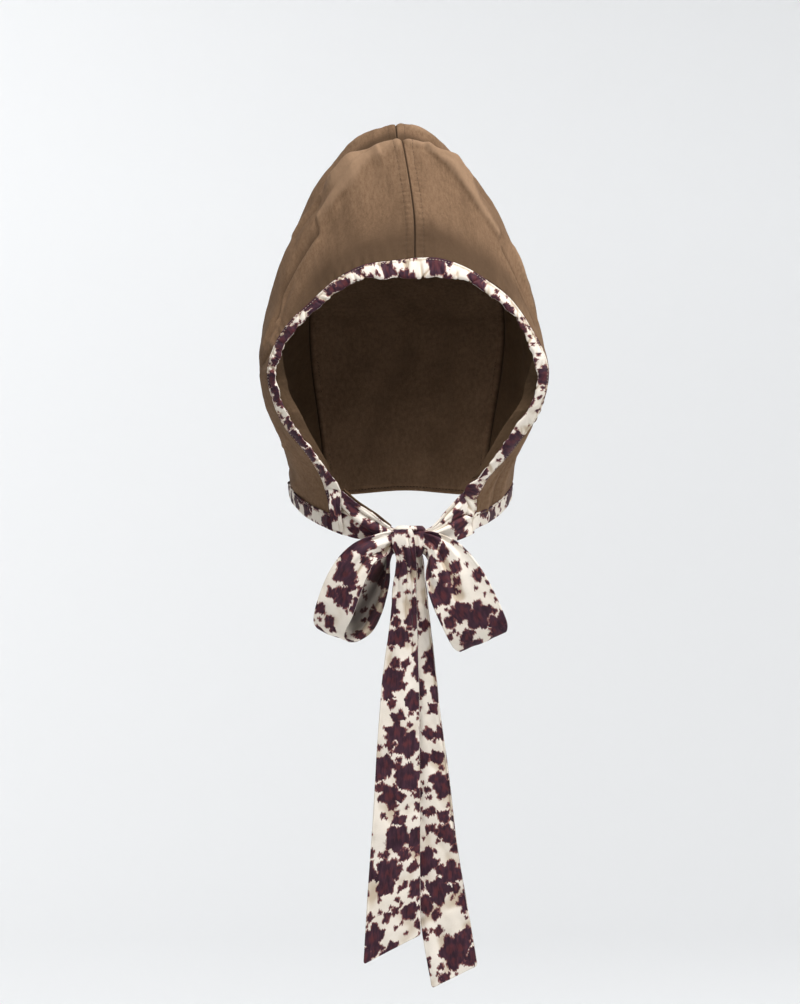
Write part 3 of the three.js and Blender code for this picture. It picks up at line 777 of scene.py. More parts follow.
def stitches(name: str, lines: Sequence[tuple[Array, Array]], pitch: float = 2.9,
             length: float = 2.1, thickness: float = 0.5) -> bpy.types.Object:
    """Sews rows of stitches.

    Args:
        name: the piece's name
        lines: for each row, its points and their outward normals, in millimetres
        pitch: from stitch to stitch
        length: of one stitch
        thickness: of the thread

    Returns:
        one object with all the rows
    """
    one = bmesh.new()
    bmesh.ops.create_uvsphere(one, u_segments=6, v_segments=4, radius=0.5)
    bmesh.ops.scale(one, verts=one.verts, vec=(thickness, thickness * 0.7, length))
    seed = bpy.data.meshes.new("stitch")
    one.to_mesh(seed)
    one.free()
    row = bmesh.new()
    for points, normals in lines:
        along = lengths(points)
        for at in np.arange(pitch, along[-1] - pitch / 2, pitch):
            middle, ahead, out = (
                np.array([np.interp(where, along, source[:, k]) for k in range(3)])
                for where, source in ((at, points), (at + 0.5, points), (at, normals)))
            tangent, up = Vector(ahead - middle).normalized(), Vector(out).normalized()
            over = up.cross(tangent).normalized()
            turn = Matrix((over, tangent.cross(over), tangent)).transposed().to_4x4()
            placed = seed.copy()
            placed.transform(Matrix.Diagonal((MM, MM, MM, 1)) @ Matrix.Translation(middle) @ turn)
            row.from_mesh(placed)
            bpy.data.meshes.remove(placed)
    mesh = bpy.data.meshes.new(name)
    row.to_mesh(mesh)
    row.free()
    bpy.data.meshes.remove(seed)
    return mesh_object(name, mesh)


@dataclass
class CrownForm:
    """The shape of the crown, in millimetres: u runs from the face to the back, v from hem to seam."""

    widest: float = 0.36
    edge_reach: float = 0.34
    span: Pair = (200.0, 430.0)
    probe: float = 0.004
    sections: Table = field(default_factory=lambda: Table(
        "at topx topy topz left right widey widez hem_left hem_right hemy hemz round_left round_right", (
            (0.00, 9, -102, -94, -114, 120, -88, -190, -63, 59, -76, -317, 1.85, 1.85),
            (0.20, 8, -82, -52, -121, 119.5, -62, -184, -80, 76, -46, -309, 1.76, 1.76),
            (0.40, -1, -46, 6.8, -123, 119, -30, -178, -92, 87, -22, -299, 1.74, 1.72),
            (0.51, -4, -25, 2, -121.5, 118.5, -8, -174, -96, 91, -4, -293.5, 1.81, 1.78),
            (0.66, -7, 8, 31, -116, 114, 23, -168, -97, 91, 21, -290, 1.82, 1.77),
            (0.84, -4, 60, 5, -101, 104, 67, -155, -89, 87, 57, -289, 1.95, 1.95),
            (1.00, 2, 97, -50, -85, 91, 97, -135, -71, 74, 87, -289, 2.1, 2.1))))
    edges: dict[Side, Table] = field(default_factory=lambda: {
        Side.LEFT: Table("at outerx outery outerz innerx innery innerz", (
            (0.000, -63, -76, -317.5, -51, -78, -322),
            (0.045, -62.5, -76, -303, -51.3, -79, -307.5),
            (0.060, -63, -76.5, -296.5, -51.5, -82, -296),
            (0.075, -64, -76.5, -291.5, -52, -85, -286),
            (0.117, -69, -77.5, -275, -63.5, -87.5, -269.5),
            (0.175, -81.5, -79.5, -254.5, -76, -89, -252.5),
            (0.235, -98, -81.5, -234.5, -92, -90.5, -229.5),
            (0.280, -107, -84, -217, -100, -92, -215),
            (0.360, -113.5, -88, -189, -106, -94.5, -189),
            (0.460, -107, -91, -164.5, -100.5, -97, -171),
            (0.560, -94.5, -94.5, -146, -88.5, -98.5, -152),
            (0.655, -77.5, -98, -130, -71.5, -101.5, -136),
            (0.770, -55.5, -100.5, -111, -48.5, -103.5, -118.5),
            (0.860, -33, -101.5, -99.5, -29, -105.5, -111.5),
            (0.930, -11.5, -102, -96.5, -10.5, -106, -111.5),
            (1.000, 9, -102, -94, 9, -106, -111))),
        Side.RIGHT: Table("at outerx outery outerz innerx innery innerz", (
            (0.000, 59, -76, -317.5, 55, -78, -321),
            (0.045, 60, -76, -306, 54, -79.5, -308),
            (0.060, 60.5, -76.5, -298, 51, -82, -296),
            (0.075, 61, -76.5, -291.5, 49, -85, -287),
            (0.117, 71.5, -77.5, -273.5, 64.5, -87.5, -272),
            (0.175, 89, -79.5, -254, 81.5, -89, -249),
            (0.235, 107, -82, -230, 97.5, -90.5, -225),
            (0.280, 115, -84, -214.5, 105.5, -92, -214),
            (0.360, 120, -88, -191.5, 110, -94.5, -191.5),
            (0.460, 116, -90.5, -171, 105.5, -97, -173),
            (0.560, 103.5, -94.5, -148.5, 96.5, -98.5, -150.5),
            (0.655, 88.5, -98, -128, 83, -101.5, -134.5),
            (0.770, 67.5, -100.5, -111.5, 63, -103.5, -120.5),
            (0.860, 48.5, -101.5, -100.5, 47, -105.5, -112),
            (0.930, 28, -102, -94, 26.5, -106, -111),
            (1.000, 9, -102, -94, 9, -106, -111)))})
    folds: dict[Side, tuple[Fold, ...]] = field(default_factory=lambda: {
        Side.LEFT: (
            Fold(((0.41, 1.00), (0.41, 0.86)), 12, 2.6),
            Fold(((0.40, 0.85), (0.40, 0.79)), 15, 6.5),
            Fold(((0.53, 1.00), (0.53, 0.80)), 11, -2),
            Fold(((0.37, 0.93), (0.31, 0.66)), 9, 2),
            Fold(((0.28, 0.67), (0.12, 0.50)), 8, -2.2),
            Fold(((0.05, 0.40), (0.30, 0.35)), 8, -2)),
        Side.RIGHT: (
            Fold(((0.41, 1.00), (0.41, 0.86)), 12, 2.6),
            Fold(((0.40, 0.85), (0.40, 0.80)), 15, 4.5),
            Fold(((0.53, 1.00), (0.53, 0.80)), 11, -2),
            Fold(((0.36, 0.95), (0.32, 0.58)), 9, 2),
            Fold(((0.30, 0.65), (0.20, 0.55)), 8, -2))})

    def section(self, side: Side, u: Array, v: Array) -> Array:
        """A point of a section: a half cosine up to the widest level and a superellipse above it."""
        row = self.sections.read(u)
        wide, hem = row[side.value], row["hem_" + side.value]
        round_by = row["round_" + side.value]
        below = np.clip(v / self.widest, 0, 1)
        low_x = hem + (wide - hem) * (1 - np.cos(np.pi * below)) / 2
        low_z = row["hemz"] + (row["widez"] - row["hemz"]) * below
        angle = (np.pi / 2) * np.clip((v - self.widest) / (1 - self.widest), 0, 1)
        across, up = np.maximum(np.cos(angle), 0), np.sin(angle)
        reach = (across**round_by + up**round_by) ** (-1 / round_by)
        high_x = row["topx"] + (wide - row["topx"]) * reach * across
        high_z = row["widez"] + (row["topz"] - row["widez"]) * reach * up
        low = v < self.widest
        depth = self.depth(v, row["hemy"], row["widey"], row["topy"])
        return np.stack([np.where(low, low_x, high_x), depth, np.where(low, low_z, high_z)], -1)

    def depth(self, v: Array, hem: Array, wide: Array, top: Array) -> Array:
        """A smooth curve through the depths of the hem, the widest level and the seam."""
        w, low = self.widest, v < self.widest
        first, middle, last = (wide - hem) / w, top - hem, (top - wide) / (1 - w)
        step = np.where(low, w, 1 - w)
        t = np.where(low, v / w, (v - w) / (1 - w))
        slopes = np.where(low, first, middle) * step, np.where(low, middle, last) * step
        return joined(np.where(low, hem, wide), np.where(low, wide, top), slopes, t)

    def smooth(self, side: Side, u: Array, v: Array) -> Array:
        """The crown without its folds, bent near the face to the exact edge."""
        pull = np.clip(1 - u / self.edge_reach, 0, 1)[..., None] ** 2
        edge = self.edges[side].points(v, "outer")
        return self.section(side, u, v) + (edge - self.section(side, np.zeros_like(v), v)) * pull

    def outward(self, side: Side, u: Array, v: Array) -> Array:
        """The outward normal of the smooth crown."""
        p = self.probe
        along = self.smooth(side, np.clip(u + p, 0, 1), v) - self.smooth(side, np.clip(u - p, 0, 1), v)
        up = self.smooth(side, u, np.clip(v + p, 0, 1)) - self.smooth(side, u, np.clip(v - p, 0, 1))
        normal = np.cross(along, up) * side.sign
        normal[..., 0] = np.where(v > 0.999, 0, normal[..., 0])
        return unit(normal)

    def main_folds(self, side: Side, u: Array, v: Array) -> Array:
        """The height of the main folds."""
        return sum(fold.rise(u, v, self.span) for fold in self.folds[side])

    def off_seam(self, points: Array, u: Array) -> Array:
        """How far to the side of the centre seam each point is."""
        return np.abs(points[..., 0] - self.sections.read(u)["topx"])

    def seam_length(self, u: Array) -> Array:
        """How far along the centre seam each u is."""
        steps = np.linspace(0, 1, 201)
        line = self.smooth(Side.LEFT, steps, np.ones_like(steps))
        return np.interp(u, steps, lengths(line))

    def edge_length(self, side: Side, v: Array) -> Array:
        """How far up the face edge each v is."""
        steps = np.linspace(0, 1, 401)
        return np.interp(v, steps, lengths(self.edges[side].points(steps, "outer")))


@dataclass
class Crown:
    """The two halves of the crown, with their folds, puckers and rows of stitching."""

    form: CrownForm
    thickness: float = 1.8
    stitch_lift: float = 0.12
    puckers: Ripples = Ripples(1.0, 5.6, 9.5, 1.1, 0.4)
    gathers: Ripples = Ripples(0.5, 9.0, 8.0, 2.0, 0.3)
    back_ripples: Ripples = Ripples(0.22, 7.5, 8.0, 1.6, 0.4, 90)
    hem_ripples: Ripples = Ripples(0.25, 11.0, 16.0, 1.5, 0.5, 200)
    seam_allowance: Welt = Welt(3.6, 2.4, 0.18)
    stitch_groove: Welt = Welt(7.2, 0.6, -0.28)
    back_allowance: Welt = Welt(3.5, 2.0, 0.5)
    hem_swell: Welt = Welt(24.0, 9.0, 0.8)
    hem_pinch: float = 0.2
    seam_dip: float = 1.3
    seam_width: float = 0.7
    fold_strength: float = 1.6
    sway_height: float = 0.45
    crumple_height: float = 0.10
    edge_shade: float = 4.6
    valley_shade: float = 5.0
    right_chance: float = 700.0
    right_cloth: float = 300.0
    seam_run: float = 300.0
    flat: Pair = (0.225, 0.43)
    fine: dict[Side, tuple[Fold, ...]] = field(default_factory=lambda: {
        Side.LEFT: (
            Fold(((0.402, 1.0), (0.402, 0.93), (0.402, 0.87), (0.392, 0.80)), 3.2, 1.5, 0.5),
            Fold(((0.535, 1.0), (0.535, 0.92), (0.52, 0.86), (0.49, 0.79)), 10.0, -3.0),
            Fold(((0.385, 0.93), (0.372, 0.885), (0.35, 0.845), (0.33, 0.79), (0.32, 0.73)),
                 3.3, 2.1, 0.5),
            Fold(((0.36, 0.91), (0.34, 0.86), (0.31, 0.81)), 9, -1.3),
            Fold(((0.275, 0.715), (0.26, 0.63), (0.23, 0.56), (0.13, 0.515)), 3.2, -1.7, -0.5),
            Fold(((0.245, 0.71), (0.23, 0.63), (0.20, 0.56), (0.10, 0.51)), 4.5, 1.2),
            Fold(((0.41, 0.74), (0.43, 0.63)), 3.2, 1.1, 0.4),
            Fold(((0.375, 0.73), (0.39, 0.63)), 3.5, -0.9),
            Fold(((0.10, 0.52), (0.05, 0.455)), 2.6, 0.8),
            Fold(((0.16, 0.53), (0.12, 0.46)), 3.0, -0.8),
            Fold(((0.19, 0.49), (0.16, 0.43)), 3.4, 0.8),
            Fold(((0.02, 0.435), (0.09, 0.405), (0.18, 0.375), (0.27, 0.36)), 2.4, -1.1, 0.6),
            Fold(((0.04, 0.41), (0.12, 0.38), (0.22, 0.35)), 5.0, 0.6),
            Fold(((0.12, 0.20), (0.20, 0.18), (0.30, 0.165)), 3.0, 0.7),
            Fold(((0.16, 0.23), (0.19, 0.17)), 2.2, -0.5),
            Fold(((0.30, 0.10), (0.50, 0.07), (0.75, 0.10)), 8.0, -0.8),
            Fold(((0.55, 0.55), (0.62, 0.40), (0.60, 0.25)), 10, 1.2),
            Fold(((0.72, 0.75), (0.78, 0.55), (0.74, 0.35)), 9, -1.2),
            Fold(((0.62, 0.93), (0.70, 0.80), (0.74, 0.68)), 8, 1.3)),
        Side.RIGHT: (
            Fold(((0.402, 1.0), (0.402, 0.93), (0.402, 0.87), (0.392, 0.80)), 3.2, 1.5, -0.5),
            Fold(((0.535, 1.0), (0.535, 0.92), (0.52, 0.86), (0.49, 0.79)), 10.0, -3.0),
            Fold(((0.395, 0.93), (0.375, 0.885), (0.345, 0.84), (0.315, 0.78), (0.29, 0.70)),
                 3.3, 2.1, -0.5),
            Fold(((0.37, 0.91), (0.35, 0.88), (0.31, 0.82)), 9, -1.3),
            Fold(((0.265, 0.67), (0.24, 0.62), (0.21, 0.57)), 3.0, -1.6, 0.5),
            Fold(((0.235, 0.69), (0.205, 0.62), (0.17, 0.565)), 4.0, 1.0),
            Fold(((0.17, 0.60), (0.10, 0.52)), 2.6, -0.7),
            Fold(((0.34, 0.62), (0.26, 0.53), (0.20, 0.49)), 3.4, 0.9),
            Fold(((0.10, 0.02), (0.10, 0.10), (0.13, 0.18)), 3.4, 1.0),
            Fold(((0.17, 0.05), (0.17, 0.12), (0.20, 0.20)), 4.0, -1.1),
            Fold(((0.26, 0.05), (0.25, 0.13), (0.28, 0.22)), 4.4, 1.2),
            Fold(((0.06, 0.16), (0.14, 0.135)), 2.6, -0.7),
            Fold(((0.30, 0.36), (0.45, 0.30), (0.60, 0.31)), 9, -1.1),
            Fold(((0.58, 0.56), (0.64, 0.42), (0.60, 0.27)), 10, 1.2),
            Fold(((0.74, 0.73), (0.80, 0.54), (0.75, 0.36)), 9, -1.1),
            Fold(((0.64, 0.95), (0.71, 0.82), (0.76, 0.70)), 8, 1.4))})
    sway: Waves = field(default_factory=lambda: Waves(11, 62.0))
    crumple: Waves = field(default_factory=lambda: Waves(12, 17.0))
    chance: Waves = field(default_factory=lambda: Waves(13, 36.0))

    def relief(self, side: Side, u: Array, v: Array, base: Array) -> Array:
        """The height of everything finer than the main folds.

        Args:
            side: which half
            u: shares from the face to the back
            v: shares from the hem to the seam
            base: the smooth crown's points

        Returns:
            heights in millimetres
        """
        form = self.form
        x, y = u * form.span[0], v * form.span[1]
        offset = 0.0 if side is Side.LEFT else self.right_chance
        height = self.fold_strength * sum(fold.rise(u, v, form.span) for fold in self.fine[side])
        height = height + self.sway_height * self.sway(x + offset, y)
        height += self.crumple_height * self.crumple(x + offset, y)
        off_seam = np.where(v > 0.8, form.off_seam(base, u), FAR)
        strength = 0.18 + bell(u - 0.265, 0.075) + 0.55 * bell(u - 0.72, 0.1)
        near = bell(off_seam, self.puckers.reach, 4) * (1 - bell(off_seam, 1.6))
        beat = self.puckers.beat(self.chance, form.seam_length(u), off_seam, offset)
        height += self.puckers.height * strength * near * beat
        height += self.seam_allowance.rise(off_seam) + self.stitch_groove.rise(off_seam)
        up_edge, from_back = form.edge_length(side, v), (1 - u) * form.span[0]
        size = 0.45 + 0.35 * self.chance(up_edge * 0.5 + offset, 40.0 + x * 0.1)
        height += size * self.gathers.rise(self.chance, up_edge, x, offset)
        height += self.back_allowance.rise(from_back)
        height += self.back_ripples.rise(self.chance, y, from_back, offset)
        height += self.hem_ripples.rise(self.chance, x, y, offset)
        height += self.hem_swell.rise(y) - self.hem_pinch * bell(y, 13.0, 4)
        meet = (1 - bell(off_seam, 2.6)) * (1 - bell(from_back, 2.2))
        return height * meet - self.seam_dip * bell(off_seam, self.seam_width)

    def point(self, side: Side, u: Array, v: Array) -> tuple[Array, Array, Array]:
        """A point of the finished crown, its normal and the height of its fine relief."""
        base, normal = self.form.smooth(side, u, v), self.form.outward(side, u, v)
        fine = self.relief(side, u, v, base)
        return base + normal * (self.form.main_folds(side, u, v) + fine)[..., None], normal, fine

    def half(self, side: Side) -> bpy.types.Object:
        """One half of the crown."""
        us = spaced((0, 0.1, 20), (0.1, 0.5, 66), (0.5, 0.97, 56), (0.97, 1.0, 8))
        vs = spaced((0, 0.93, 196), (0.93, 0.985, 24), (0.985, 1.0, 16))
        v, u = np.meshgrid(vs, us, indexing="ij")
        points, _, fine = self.point(side, u, v)
        form = self.form
        across, up = form.span
        flat = pairs(u * across + (0 if side is Side.LEFT else self.right_cloth), v * up)
        from_back = (1 - u) * across
        off_seam = np.where(v > 0.9, form.off_seam(points, u), FAR)
        # Painted shade near the face edge and in the valley behind the front bump, taken off the relief
        # attribute so that the cloth colours these places darker.
        near_edge = bell(u * across, 36.0) * np.clip((v - 0.45) / 0.3, 0, 1)
        valley = bell(u - 0.55, 0.05) * np.sin(np.pi / 2 * np.clip((v - 0.72) / 0.24, 0, 1)) ** 2
        shade = self.edge_shade * near_edge + self.valley_shade * valley
        values = {"relief": fine + 0.35 * form.main_folds(side, u, v) - shade,
                  "wall": np.clip(np.minimum((1 - v) * self.seam_run, from_back) / SEAM_TAPER, 0, 1),
                  "seam": bell(np.minimum(off_seam, from_back), 0.55)}
        piece = bend_grid(f"crown_{side.value}_cloth", points, flat, side is Side.LEFT, values=values)
        weigh(piece, "wall", "wall")
        give_wall(piece, self.thickness, -1, "wall")
        piece.modifiers["Wall"].material_offset = 1
        return piece

    def seam_rows(self, side: Side) -> tuple[Array, Array]:
        """The row of stitches beside the centre seam, and its normals."""
        us, tries = np.linspace(0.015, 0.985, 500), np.linspace(0.90, 1.0, 60)
        v, u = np.meshgrid(tries, us, indexing="ij")
        off = self.form.off_seam(self.form.smooth(side, u, v), u)
        place = self.stitch_groove.place
        vs = np.array([np.interp(place, column[::-1], tries[::-1]) for column in off.T])
        points, normals, _ = self.point(side, us, vs)
        return points + normals * self.stitch_lift, normals

    def build(self, finishes: Wardrobe) -> None:
        """Builds and dresses both halves and their stitching."""
        for side in Side:
            piece = self.half(side)
            dress(piece, finishes.crown, Slot.CROWN, f"crown_{side.value}")
            # Second slot: the darker copy of the brown cloth, painted shade for the wall's inner faces.
            piece.data.materials.append(finishes.inside)
            sewn = stitches(f"crown_{side.value}_stitching", [self.seam_rows(side)], thickness=0.42)
            dress(sewn, finishes.thread, Slot.CROWN)


@dataclass
class BackPanel:
    """The arched back piece, whose seams and stitching show inside the hood."""

    form: CrownForm
    thickness: float = 1.8
    hem_rise: float = 4.2
    hem_width: float = 0.62
    squareness: float = 3.0
    hem_fade: float = 4.0
    span: Pair = (165.0, 300.0)
    height: float = 355.0
    stitch_ridge: Welt = Welt(5.6, 0.9, 0.5)
    hem_ridge: Welt = Welt(3.0, 0.9, 0.5)
    seam_groove: Welt = Welt(3.0, 1.8, -0.9)
    flat: Pair = (0.19, 0.27)
    cloth_start: float = 600.0
    bulge: Table = field(default_factory=lambda: Table(
        "at depth", ((0.0, 10), (0.3, 15), (0.7, 15), (1.0, 3))))
    folds: tuple[Fold, ...] = (
        Fold(((0.25, 0.10), (0.40, 0.22), (0.55, 0.30)), 12, 1.2),
        Fold(((0.80, 0.12), (0.70, 0.25), (0.72, 0.40)), 11, 1.1),
        Fold(((0.90, 0.55), (0.80, 0.42)), 6, -0.8),
        Fold(((0.12, 0.45), (0.16, 0.62)), 8, -0.9),
        Fold(((0.40, 0.55), (0.60, 0.62)), 14, 1.0))
    sway: Waves = field(default_factory=lambda: Waves(21, 55.0))
    crumple: Waves = field(default_factory=lambda: Waves(22, 15.0))

    def smooth(self, s: Array, v: Array) -> Array:
        """The panel without folds, s from left to right and v from hem to peak."""
        one = np.ones_like(v)
        left, right = self.form.smooth(Side.LEFT, one, v), self.form.smooth(Side.RIGHT, one, v)
        out = left + (right - left) * s[..., None]
        out[..., 1] += self.bulge.read(v)["depth"] * (1 - np.abs(2 * s - 1) ** self.squareness)
        arc = bell(2 * s - 1, self.hem_width) * (1 - (2 * s - 1) ** 2)
        out[..., 2] += self.hem_rise * arc * (1 - v) ** self.hem_fade
        return out

    def widths(self, v: Array) -> Array:
        """How wide the panel is at each height."""
        return np.linalg.norm(self.smooth(np.ones_like(v), v) - self.smooth(np.zeros_like(v), v), axis=-1)

    def grid(self, ss: Array, vs: Array) -> tuple[Array, Array, Array]:
        """Points, outward normals and relief over a grid of the panel."""
        v, s = np.meshgrid(vs, ss, indexing="ij")
        base = self.smooth(s, v)
        normals = -grid_normals(base)
        normals *= np.sign(normals[..., 1:2] + 1e-9)
        to_seam = np.minimum(s, 1 - s) * self.widths(vs)[:, None]
        x, y = s * self.span[0], v * self.span[1]
        height = sum(fold.rise(s, v, self.span) for fold in self.folds)
        height = (height + 0.3 * self.sway(x, y) + 0.10 * self.crumple(x, y)) * np.clip(to_seam / 12, 0, 1)
        height += 0.3 * bell(to_seam, 7.0) * np.sin(2 * np.pi * v * self.form.span[1] / 8.0 + 3 * s)
        height += self.stitch_ridge.rise(to_seam) + self.seam_groove.rise(to_seam)
        height += self.hem_ridge.rise(v * self.height)
        height *= 1 - bell(to_seam, 2.2)
        return base + normals * height[..., None], normals, height

    def build(self, finishes: Wardrobe) -> None:
        """Builds and dresses the panel and its stitching."""
        ss = spaced((0, 0.03, 8), (0.03, 0.97, 84), (0.97, 1.0, 8))
        vs = spaced((0, 0.05, 12), (0.05, 0.95, 110), (0.95, 0.995, 8))
        points, _, height = self.grid(ss, vs)
        v, s = np.meshgrid(vs, ss, indexing="ij")
        x, y = s * self.span[0], v * self.span[1]
        flat = pairs(x + self.cloth_start, y)
        to_seam = np.minimum(np.minimum(x, self.span[0] - x), self.span[1] - y)
        values = {"relief": -height, "wall": np.clip(to_seam / SEAM_TAPER, 0, 1),
                  "seam": bell(to_seam, 1.5)}
        piece = bend_grid("back_panel_cloth", points, flat, turned=True, values=values)
        weigh(piece, "wall", "wall")
        give_wall(piece, self.thickness, -1, "wall")
        dress(piece, finishes.crown, Slot.CROWN, "back_panel")
        up = np.linspace(0.03, 0.93, 260)
        points, normals, _ = self.grid(np.linspace(0, 1, 201), up)
        picked, inset = np.arange(len(up)), self.stitch_ridge.place / self.widths(up)
        below = self.thickness + 0.1
        rows = []
        for s in (inset, 1 - inset):
            column = np.clip(np.rint(s * 200).astype(int), 0, 200)
            normal = normals[picked, column]
            rows.append((points[picked, column] - normal * below, -normal))
        hem = np.array([0, 1]) + self.hem_ridge.place
        points, normals, _ = self.grid(np.linspace(0.02, 0.98, 200), hem / self.height)
        rows.append((points[0] - normals[0] * below, -normals[0]))
        sewn = stitches("back_panel_stitching", rows, thickness=0.6)
        dress(sewn, finishes.dark_thread, Slot.CROWN)


@dataclass
class Casing:
    """The rolled and gathered casing round the face, and its stitch line."""

    form: CrownForm
    thickness: float = 5.2
    overlap: float = 0.1
    taper: float = 0.30
    end: float = 0.043
    flat: Pair = (0.0125, 0.78)
    cloth_start: float = 900.0
    end_round: float = 2.2
    gathers: int = 92
    seed: int = 31
    end_clear: float = 4.0
    scatter: float = 3.2
    gather_depth: Pair = (0.3, 2.0)
    gather_width: Pair = (0.8, 1.9)
    slant: float = 0.9
    twisted: Pair = (0.60, 0.84)
    twist: float = 1.2
    groove: Welt = Welt(2.0, 0.9, -0.75)

    def stations(self, count: int) -> tuple[Array, Array, Array]:
        """Outer and inner edge points round the opening, from left to right, and the arc length."""
        way = np.linspace(-1, 1, count)
        v = 1 - np.abs(way) * (1 - self.end)
        edges = []
        for prefix in ("outer", "inner"):
            left, right = (self.form.edges[side].points(v, prefix) for side in Side)
            edges.append(np.where((way < 0)[:, None], left, right))
        return edges[0], edges[1], lengths(edges[0])

    def build(self, finishes: Wardrobe) -> None:
        """Builds and dresses the casing and its stitching."""
        count, round_count = 620, 40
        outer, inner, along = self.stations(count)
        across = unit(inner - outer)
        tangent = unit(np.gradient(outer + inner, axis=0))
        normal = unit(np.cross(across, tangent))
        normal *= np.where(normal[:, 1:2] > 0, -1.0, 1.0)
        start = outer - across * self.overlap
        half = np.linalg.norm(inner - start, axis=1) / 2
        middle = (start + inner) / 2
        angle = np.linspace(0, 2 * np.pi, round_count + 1)
        near_end = np.minimum(along, along[-1] - along)
        close = rounded(near_end, self.end_round)[:, None]
        cos, sin = np.cos(angle)[None, :], np.sin(angle)[None, :]
        swell = (self.thickness / 2) * (1 - self.taper + self.taper * cos)
        reach = half[:, None] * cos
        puff = self.gather(along, reach, half)
        rise = (swell + puff) * sin * close
        wobble = 0.5 * Waves(33, 24.0)(along, along * 0)[:, None] * np.clip(cos, 0, 1)
        sideways = (reach + (puff * 0.7 + wobble) * np.clip(cos, 0, 1) ** 2) * (0.35 + 0.65 * close)
        points = (middle[:, None] + across[:, None] * sideways[..., None]
                  + normal[:, None] * rise[..., None])
        girth = 2 * math.pi * math.sqrt((half.mean() ** 2 + (self.thickness / 2) ** 2) / 2)
        flat = pairs(along[:, None] + self.cloth_start, angle[None, :] / (2 * np.pi) * girth)
        piece = bend_grid("front_casing_roll", points, flat, closed=True, values={"relief": puff * 1.2})
        dress(piece, finishes.printed, Slot.PRINT, "front_casing")
        line = start + across * self.groove.place
        lift = self.thickness / 2 * (1 - self.taper) * 0.62
        sewn = stitches("front_casing_stitching", [(line + normal * lift, normal)],
                        pitch=2.6, length=1.7, thickness=0.4)
        dress(sewn, finishes.cream_thread, Slot.PRINT)

    def gather(self, along: Array, reach: Array, half: Array) -> Array:
        """How far the gathers push the roll out or in, in millimetres."""
        rng = np.random.default_rng(self.seed)
        total = np.zeros(reach.shape)
        place = np.linspace(self.end_clear, along[-1] - self.end_clear, self.gathers)
        place += rng.uniform(-self.scatter, self.scatter, self.gathers)
        for at in place:
            depth, width = rng.uniform(*self.gather_depth), rng.uniform(*self.gather_width)
            twist = self.twist if self.twisted[0] < at / along[-1] < self.twisted[1] else 0.0
            slant, inner_side = rng.uniform(-self.slant, self.slant) + twist, rng.random() < 0.6
            off = along[:, None] - at - slant * reach
            share = reach / half[:, None] * (1 if inner_side else -1)
            total -= depth * bell(off, width) * np.clip(0.55 + 0.6 * share, 0, 1)
        total += 0.25 * Waves(32, 13.0)(along[:, None], reach * 0.5)
        return total + self.groove.rise(reach + half[:, None])


@dataclass
class Facings:
    """The strip of brown cloth that shows behind each cheek's casing."""

    form: CrownForm
    thickness: float = 1.4
    depth: float = -80.0
    clear: float = 3.9
    root: float = 0.5
    width: float = 14.0
    length: float = 330.0
    cloth_start: float = 1200.0
    flat: dict[Side, Pair] = field(default_factory=lambda: {
        Side.LEFT: (0.011, 0.125), Side.RIGHT: (0.0125, 0.12)})
    rows: dict[Side, Table] = field(default_factory=lambda: {
        Side.LEFT: Table("at x z", (
            (0.11, -59.5, -274), (0.14, -63, -264), (0.18, -70.5, -251), (0.21, -77.5, -238.5),
            (0.245, -84, -226), (0.295, -92.5, -210), (0.34, -97.5, -197), (0.44, -101.5, -172.5))),
        Side.RIGHT: Table("at x z", (
            (0.11, 56, -276), (0.13, 63, -266), (0.17, 71.5, -251.5), (0.225, 83, -232),
            (0.265, 92.5, -219.5), (0.295, 97.5, -210), (0.335, 100.5, -199.5), (0.43, 106.5, -176)))})

    def build(self, finishes: Wardrobe) -> None:
        """Builds and dresses both strips."""
        for side in Side:
            table = self.rows[side]
            v = np.linspace(table.at[0], table.at[-1], 110)
            outer, inner = (self.form.edges[side].points(v, prefix) for prefix in ("outer", "inner"))
            back = unit(np.cross(inner - outer, np.gradient(outer, axis=0)))
            back *= np.where(back[:, 1:2] < 0, -1.0, 1.0)
            root = outer + (inner - outer) * self.root + back * self.clear
            found = table.read(v)
            free = np.stack([found["x"], np.full_like(v, self.depth), found["z"]], -1)
            s = np.linspace(0, 1, 17)
            middle = root[:, None] + (free - root)[:, None] * s[None, :, None]
            normal = grid_normals(middle)
            normal *= np.where(normal[..., 1:2] > 0, -1.0, 1.0)
            x, y = s[None, :] * self.width, v[:, None] * self.length
            ripple = 0.35 * Waves(41, 30.0)(y, x)
            crease = 0.6 * bell((v[:, None] - 0.33) * self.length - s * 6, 2.0)
            middle = middle + normal * (ripple + crease * s)[..., None]
            piece = bend_grid(f"facing_{side.value}_cloth", middle, pairs(x + self.cloth_start, y),
                              values={"relief": ripple + 0.3})
            give_wall(piece, self.thickness, 0)
            # The facings take the darker copy of the brown cloth, with painted shade.
            dress(piece, finishes.facing, Slot.FACING, f"facing_{side.value}")


